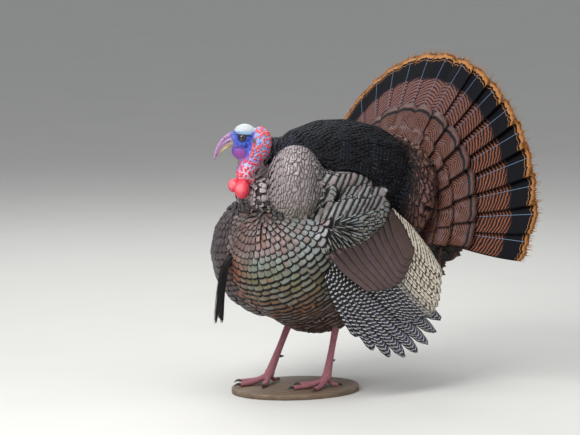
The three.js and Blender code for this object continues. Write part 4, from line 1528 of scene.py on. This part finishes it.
class TURKEY_OT_tail(bpy.types.Operator):
    """The fan of tail feathers, its coverts and the feathers under it"""

    bl_idname = "turkey.tail"
    bl_label = "Tail"

    def execute(self, context):
        s = context.scene.turkey
        dice = np.random.default_rng(7)
        full = s.tail_length * 1000
        count = s.tail_count
        spacing = 9.43 * 17 / (count - 1)
        lengths = lambda a: full * np.where(np.abs(a) > 1.35, 0.96, 1.0)
        paths, outs, length, angle = fan(count, spacing, TAIL_SWEEP, 24, lengths)
        half = full * np.tan(np.radians(spacing * 0.63)) * np.ones(count)
        reach = rounded(2.6, 0.03)
        shape = {
            "rows": 26,
            "columns": 21,
            "breadth": lambda t: 0.1 + 0.9 * soft(t, -0.1, 0.95),
            "reach": reach,
            "cup": 0.02,
            "thick": 0.9,
            "twists": 2.4 * np.sign(angle),
            "fray": 0.012,
            "crowd": 0.9,
        }
        look = plain_look(count, tone("7A5A5A"), soft(angle, 0.75, -0.25))
        vanes = feathers(paths, outs, length, half, look, shape, dice)
        barbs_made = fringe(paths, outs, length, half, reach, dice)
        piece = new_piece("tail_feathers", *vanes[:2], [rectrix_finish("tail_bars")], vanes[2], None, vanes[3])
        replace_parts(piece, "tail_fan")
        edge = new_piece("tail_fringe", *barbs_made[:2], [], barbs_made[2], None, barbs_made[3])
        edge.data.materials.append(piece.data.materials[0])

        batches = []
        for number, scale, gap, back, lift, broad in (
            (13, 1.0, 13.2, 2.0, 1.0, 36),
            (14, 0.8, 12.6, 3.6, 2.0, 30),
            (17, 0.66, 10.6, 5.0, 3.0, 25),
        ):
            lengths = lambda a: full * scale * (0.64 + 0.05 * np.cos(a))
            paths, outs, length, angle = fan(number, gap, TAIL_SWEEP - back, 40, lengths, lift)
            length = length * dice.uniform(0.95, 1.03, number)
            shape = {
                "rows": 16,
                "columns": 13,
                "breadth": lambda t: 0.2 + 0.8 * soft(t, -0.1, 0.9),
                "reach": rounded(3.2, 0.045),
                "cup": 0.05,
                "thick": 0.9,
                "twists": 2.0 * np.sign(angle + 0.001),
                "fray": 0.01,
            }
            look = plain_look(number, s.slate, 1.0 if scale == 1.0 else 0.0)
            batches.append(feathers(paths, outs, length, np.full(number, broad), look, shape, dice))
        places, faces, facts, patch = gathered(batches)
        piece = new_piece("tail_covert_feathers", places, faces, [covert_finish()], facts, None, patch)
        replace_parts(piece, "tail_coverts")
        self.under_tail(dice)
        return {"FINISHED"}

    def under_tail(self, dice):
        """Dark feathers with rust ends, in cones round the way out below the fan."""
        s = bpy.context.scene.turkey
        axis, up, left = (np.array(v) for v in ((0, 0.962, -0.273), (0, 0.273, 0.962), (1, 0, 0)))
        t = np.linspace(0, 1, 8)
        batches = []
        for number, reach, cone, start in (
            (12, 212, 14, 8),
            (13, 178, 20, 14),
            (15, 142, 23, 20),
            (17, 104, 26, 26),
        ):
            turns = np.radians(np.linspace(-75, 255, number) + dice.normal(0, 3, number))
            level = np.cos(turns)[:, None] * left - np.sin(turns)[:, None] * up
            slope = math.radians(cone)
            along = math.cos(slope) * axis + math.sin(slope) * level
            length = reach * dice.uniform(0.88, 1.05, number)
            paths = np.array((0, 208, 342)) + (level * start)[:, None]
            paths = paths + along[:, None] * (length[:, None] * t)[..., None]
            outs = np.broadcast_to(unit(level * math.cos(slope) - axis * math.sin(slope))[:, None], paths.shape)
            look = plain_look(number, s.black)
            look["tint"] = with_alpha(blend(s.black, s.umber, 0.5 * dice.random(number)))
            look["glow"] = look["tint"]
            rust_end = 0.7 if reach > 160 else 0.0
            look["hem"] = with_alpha(np.broadcast_to(tone("5E3620"), (number, 3)), rust_end)
            look["band"] = with_alpha(np.broadcast_to(s.black, (number, 3)), 3.0)
            look["width"] = np.full(number, 22.0)
            shape = {"rows": 12, "columns": 9, "breadth": spoon(0.4, 0.8), "reach": rounded(2.4, 0.1)}
            shape |= {"cup": 0.12, "thick": 0.9, "fray": 0.03}
            batches.append(feathers(paths, outs, length, np.full(number, 19.0), look, shape, dice))
        places, faces, facts, patch = gathered(batches)
        finish = bpy.data.materials["contour_feather"]
        new_piece("under_tail_feathers", places, faces, [finish], facts, None, patch)


# ---------------------------------------------------------------- wings
def wing_row(side, count, ends, angles, lengths, layer, stations=9):
    """Paths of a row of wing feathers over the flank, and the way each faces."""
    t = np.linspace(0, 1, count)
    slope = np.radians(angles[0] + (angles[1] - angles[0]) * t)
    reach = lengths(t)
    run = np.linspace(0, 1, stations)
    root = np.array(ends[0]) + (np.array(ends[1]) - np.array(ends[0])) * t[:, None]
    y = root[:, :1] + (reach * np.cos(slope))[:, None] * run
    z = root[:, 1:] - (reach * np.sin(slope))[:, None] * run
    x = FLANK - 0.00036 * (y - 20) ** 2 + 0.03 * (300 - z) + layer
    paths = np.stack([side * x, y, z], -1)
    outs = unit(np.stack([side * np.ones_like(y), 0.00072 * (y - 20), 0.03 * np.ones_like(y)], -1))
    return paths, outs, reach, t


class TURKEY_OT_wings(bpy.types.Operator):
    """The long quills and the broad bronze coverts of both wings"""

    bl_idname = "turkey.wings"
    bl_label = "Wings"

    def execute(self, context):
        s = context.scene.turkey
        barred, glossy = quill_finish(), bpy.data.materials["contour_feather"]
        for name, side in (("left", 1), ("right", -1)):
            dice = np.random.default_rng(19 + side)
            angles = (27, 62) if side > 0 else (20, 50)
            row = wing_row(
                side, 8, ((-30, 312), (-46, 286)), angles, lambda t: 348 - 178 * t**2.4, -6
            )
            self.quills(f"primaries_{name}", f"wing_{name}_primaries", row, side, barred, dice, 19, 0.0)
            row = wing_row(
                side,
                11,
                ((126, 416), (10, 322)),
                (47, 45),
                lambda t: 222 + 12 * t + 42 * np.sin(np.pi * t),
                -1,
            )
            cream = soft(row[3], 0.72, 0.4)
            self.quills(f"secondaries_{name}", f"wing_{name}_secondaries", row, side, barred, dice, 21, cream)
            row = wing_row(
                side,
                10,
                ((118, 420), (-42, 331)),
                (62, 36),
                lambda t: 104 + 62 * np.sin(np.pi * (0.15 + 0.6 * t)),
                5,
            )
            paths, outs, length, t = row
            n = len(length)
            look = plain_look(n, s.bronze)
            look["tint"] = with_alpha(np.array(s.bronze) * dice.uniform(0.85, 1.15, (n, 1)))
            look["glow"] = with_alpha(np.tile(tone("6C585C"), (n, 1)))
            look["band"] = with_alpha(np.tile(tone("1A1416"), (n, 1)), 0.12)
            look["hem"] = with_alpha(np.tile(s.black, (n, 1)), 0.0)
            look["width"] = np.full(n, 0.8)
            shape = {
                "rows": 14,
                "columns": 11,
                "breadth": lambda t: 0.5 + 0.5 * soft(t, 0, 0.5),
                "reach": rounded(2.4, 0.12),
                "cup": 0.02,
                "thick": 0.8,
                "twist": side * 1.6,
                "fray": 0.01,
            }
            made = feathers(paths, outs, length, np.full(n, 20.0), look, shape, dice)
            piece = new_piece(f"panel_{name}", *made[:2], [glossy], made[2], None, made[3])
            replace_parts(piece, f"wing_{name}_panel")
        return {"FINISHED"}

    def quills(self, name, node, row, side, finish, dice, breadth, cream):
        """One row of barred quills."""
        paths, outs, length, t = row
        n = len(length)
        look = plain_look(n, bpy.context.scene.turkey.quill_slate, cream)
        look["band"] = with_alpha(look["band"][:, :3], 1.0 if side > 0 else 0.0)
        shape = {
            "rows": 24,
            "columns": 11,
            "breadth": lambda t: 0.55 + 0.45 * soft(t, 0, 0.4) - 0.25 * soft(t, 0.7, 1.0),
            "reach": rounded(2.0, 0.1),
            "cup": 0.02,
            "thick": 0.9,
            "twist": side * 1.8,
            "fray": 0.012,
        }
        made = feathers(paths, outs, length, np.full(n, float(breadth)), look, shape, dice)
        piece = new_piece(name, *made[:2], [finish], made[2], None, made[3])
        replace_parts(piece, node)


# ---------------------------------------------------------------- beard, claws and board
class TURKEY_OT_beard(bpy.types.Operator):
    """The beard of coarse bristles that hangs from the breast"""

    bl_idname = "turkey.beard"
    bl_label = "Beard"

    def execute(self, context):
        dice = np.random.default_rng(3)
        drop = context.scene.turkey.beard_length * 1000
        marks = (0, 28, 78, 130, drop)
        line = [(-4, -170), (-6, -194), (-8, -205), (-6, -211), (-4, -214)]
        middle = spline([(x, y, 322 - m) for (x, y), m in zip(line, marks)], 12)
        clumps = np.array([(-7, -3, 0), (6, 2, 6), (-1, 4, 14), (9, -4, 22), (-12, 3, 30)], float)
        paths, outs, sizes = [], [], []
        t = np.linspace(0, 1, 12)[:, None]
        for i in range(190):
            clump = clumps[i % 5] * (1.3, 1.6, 1)
            spread = dice.normal(0, 1, 3) * (6.0, 4.2, 0)
            end = clump * (1, 1, 0) + spread * 0.35
            path = middle + (spread * (1 - t) + end * t**1.4) + dice.normal(0, 0.5, 3)
            short = 1 - (clump[2] + abs(dice.normal(0, 8))) / 190
            keep = np.array([np.interp(np.linspace(0, short, 12), t[:, 0], path[:, k]) for k in range(3)]).T
            paths.append(keep)
            outs.append(np.tile((0.3, -0.95, 0.0), (12, 1)))
            sizes.append((drop * short, dice.uniform(0.6, 1.1)))
        sizes = np.array(sizes)
        shape = {"rows": 12, "columns": 3, "breadth": lambda t: 1 - 0.7 * t, "reach": rounded(2, 0.0)}
        shape |= {"cup": 0.0, "thick": 1.5}
        look = plain_look(len(sizes), context.scene.turkey.black)
        made = feathers(np.array(paths), np.array(outs), sizes[:, 0], sizes[:, 1], look, shape, dice)
        piece = new_piece("beard_bristles", *made[:2], [bristle_finish()], made[2], None, made[3])
        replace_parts(piece, "beard")
        return {"FINISHED"}


class TURKEY_OT_claws(bpy.types.Operator):
    """The claws and the spurs"""

    bl_idname = "turkey.claws"
    bl_label = "Claws and spurs"

    def execute(self, context):
        s = context.scene.turkey
        finish = horn_finish("dark_horn", s.dark_horn, tone("5A4C4A"))
        for label, leg in LEGS.items():
            for name, turn, reach in TOES:
                path = np.array(toe_path(leg, name, turn, reach))
                ahead = unit((path[3] - path[2]) * (1, 1, 0))
                length = 10.2 if name == "hind" else 17
                end = path[3]
                points = [end - ahead * 3, end + ahead * length * 0.5, end + ahead * length]
                for point, height in zip(points, (end[2], 6.2, 1.2)):
                    point[2] = height
                shape = bmesh.new()
                add_limb(shape, points, [3.4, 2.8, 0.7], steps=16)
                places, quads, _ = melted(shape, 0.6, 2)
                places[:, 2] = np.maximum(places[:, 2], 0.0)
                piece = new_piece(f"nail_{label}_{name}", places, quads, [finish])
                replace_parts(piece, f"claw_{label}_{name}")
            ankle, hock = np.array(leg["ankle"], float), np.array(leg["hock"], float)
            root = ankle + (hock - ankle) * 0.3
            tip = root + np.array((-leg["side"] * 4, 17, -5))
            shape = bmesh.new()
            add_limb(shape, [root, (root + tip) / 2 + (0, 0, -3), tip], [5.2, 3.4, 0.8], steps=18)
            places, quads, _ = melted(shape, 0.7, 2)
            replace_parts(new_piece(f"spur_horn_{label}", places, quads, [finish]), f"spur_{label}")
        return {"FINISHED"}


class TURKEY_OT_board(bpy.types.Operator):
    """The oval display board under the feet"""

    bl_idname = "turkey.board"
    bl_label = "Board"

    def execute(self, context):
        low, high = (BOARD - ORIGIN) * 1000
        middle, half = (low + high) / 2, (high - low) / 2
        rim = 2.5
        curve = np.linspace(0, np.pi / 2, 5)
        profile = [(0.02, low[2]), (0.7, low[2]), (1, low[2])]
        insets = [0.0] * 3 + [rim * (1 - math.cos(a)) for a in curve]
        heights = [p[1] for p in profile] + [high[2] - rim + rim * math.sin(a) for a in curve]
        scales = [p[0] for p in profile] + [1.0] * 5
        insets += [0, 0, 0, 0]
        heights += [high[2]] * 4
        scales += [0.9, 0.6, 0.3, 0.02]
        count = 96
        angle = np.linspace(0, 2 * np.pi, count, endpoint=False)
        rings = [
            np.stack(
                [
                    middle[0] + (half[0] * k - inset) * np.cos(angle),
                    middle[1] + (half[1] * k - inset) * np.sin(angle),
                    np.full(count, height),
                ],
                -1,
            )
            for k, inset, height in zip(scales, insets, heights)
        ]
        places = np.vstack(rings)
        i, k = np.meshgrid(np.arange(len(rings) - 1), np.arange(count), indexing="ij")
        n = (k + 1) % count
        quads = np.stack([i * count + k, i * count + n, (i + 1) * count + n, (i + 1) * count + k], -1)
        top = (len(rings) - 1) * count
        caps = [(top + a, top + a + 1, top + count - 2 - a, top + count - 1 - a) for a in range(count // 2 - 1)]
        low_caps = [(a + 1, a, count - 1 - a, count - 2 - a) for a in range(count // 2 - 1)]
        faces = np.vstack([quads.reshape(-1, 4), np.array(caps), np.array(low_caps)])
        piece = new_piece("display_board", places, faces, [board_finish()])
        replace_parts(piece, "stand_base")
        return {"FINISHED"}


# ---------------------------------------------------------------- stage
class TURKEY_OT_stage(bpy.types.Operator):
    """A plain pale floor, soft studio lights and the camera"""

    bl_idname = "turkey.stage"
    bl_label = "Stage"

    def execute(self, context):
        scene = context.scene
        bpy.ops.mesh.primitive_plane_add(size=60, location=(0, 0, 0))
        floor = context.object
        floor.name = "floor"
        f = Finish("floor_paint")
        pale = f.dim(scene.turkey.floor, 0.97 + 0.06 * f.cloud(3.0))
        floor.data.materials.append(f.done(base_color=pale, roughness=0.85))
        target = Vector(ORIGIN) + Vector((0.0, -0.027, 0.392))
        self.light("key", target, (-34, 40), 3.2, 1.8, 84)
        self.light("fill", target, (75, 25), 3.6, 3.0, 18)
        self.light("top", target, (20, 80), 3.0, 2.2, 34)
        self.light("rim", target, (190, 45), 3.4, 2.0, 44)
        world = bpy.data.worlds.new("studio")
        world.use_nodes = True
        world.node_tree.nodes["Background"].inputs["Color"].default_value = (0.8, 0.82, 0.85, 1)
        world.node_tree.nodes["Background"].inputs["Strength"].default_value = 0.42
        scene.world = world
        scene.view_settings.view_transform = "Standard"
        azimuth, elevation = math.radians(58.8), math.radians(7)
        back = Vector(
            (
                math.sin(azimuth) * math.cos(elevation),
                -math.cos(azimuth) * math.cos(elevation),
                math.sin(elevation),
            )
        )
        data = bpy.data.cameras.new("camera")
        data.lens = 217.6
        camera = bpy.data.objects.new("camera", data)
        camera.location = target + back * 8.06
        camera.rotation_euler = back.to_track_quat("Z", "Y").to_euler()
        scene.collection.objects.link(camera)
        scene.camera = camera
        return {"FINISHED"}

    def light(self, name, target, bearing, away, size, power):
        """A square soft light at a bearing from the camera's side and a height, in degrees."""
        turn, height = math.radians(58.8 + bearing[0]), math.radians(bearing[1])
        way = Vector(
            (
                math.sin(turn) * math.cos(height),
                -math.cos(turn) * math.cos(height),
                math.sin(height),
            )
        )
        data = bpy.data.lights.new(name, "AREA")
        data.size = size
        data.energy = power
        lamp = bpy.data.objects.new(name, data)
        lamp.location = target + way * away
        lamp.rotation_euler = way.to_track_quat("Z", "Y").to_euler()
        bpy.context.scene.collection.objects.link(lamp)


# ---------------------------------------------------------------- panel
OPERATORS = [
    TURKEY_OT_skin,
    TURKEY_OT_eyes,
    TURKEY_OT_bill,
    TURKEY_OT_coat,
    TURKEY_OT_scapulars,
    TURKEY_OT_tail,
    TURKEY_OT_wings,
    TURKEY_OT_beard,
    TURKEY_OT_claws,
    TURKEY_OT_board,
    TURKEY_OT_stage,
]


class TURKEY_PT_panel(bpy.types.Panel):
    """Sizes, colours and pieces of the turkey"""

    bl_label = "Turkey"
    bl_space_type = "VIEW_3D"
    bl_region_type = "UI"
    bl_category = "Turkey"

    def draw(self, context):
        for key in TurkeySettings.__annotations__:
            self.layout.prop(context.scene.turkey, key)
        for operator in OPERATORS:
            self.layout.operator(operator.bl_idname)


CLASSES = [TurkeySettings, *OPERATORS, TURKEY_PT_panel]


def register():
    for kind in CLASSES:
        bpy.utils.register_class(kind)
    bpy.types.Scene.turkey = PointerProperty(type=TurkeySettings)


def unregister():
    del bpy.types.Scene.turkey
    for kind in reversed(CLASSES):
        bpy.utils.unregister_class(kind)


def main():
    register()
    for operator in OPERATORS:
        group, name = operator.bl_idname.split(".")
        getattr(getattr(bpy.ops, group), name)()


if __name__ == "__main__":
    main()
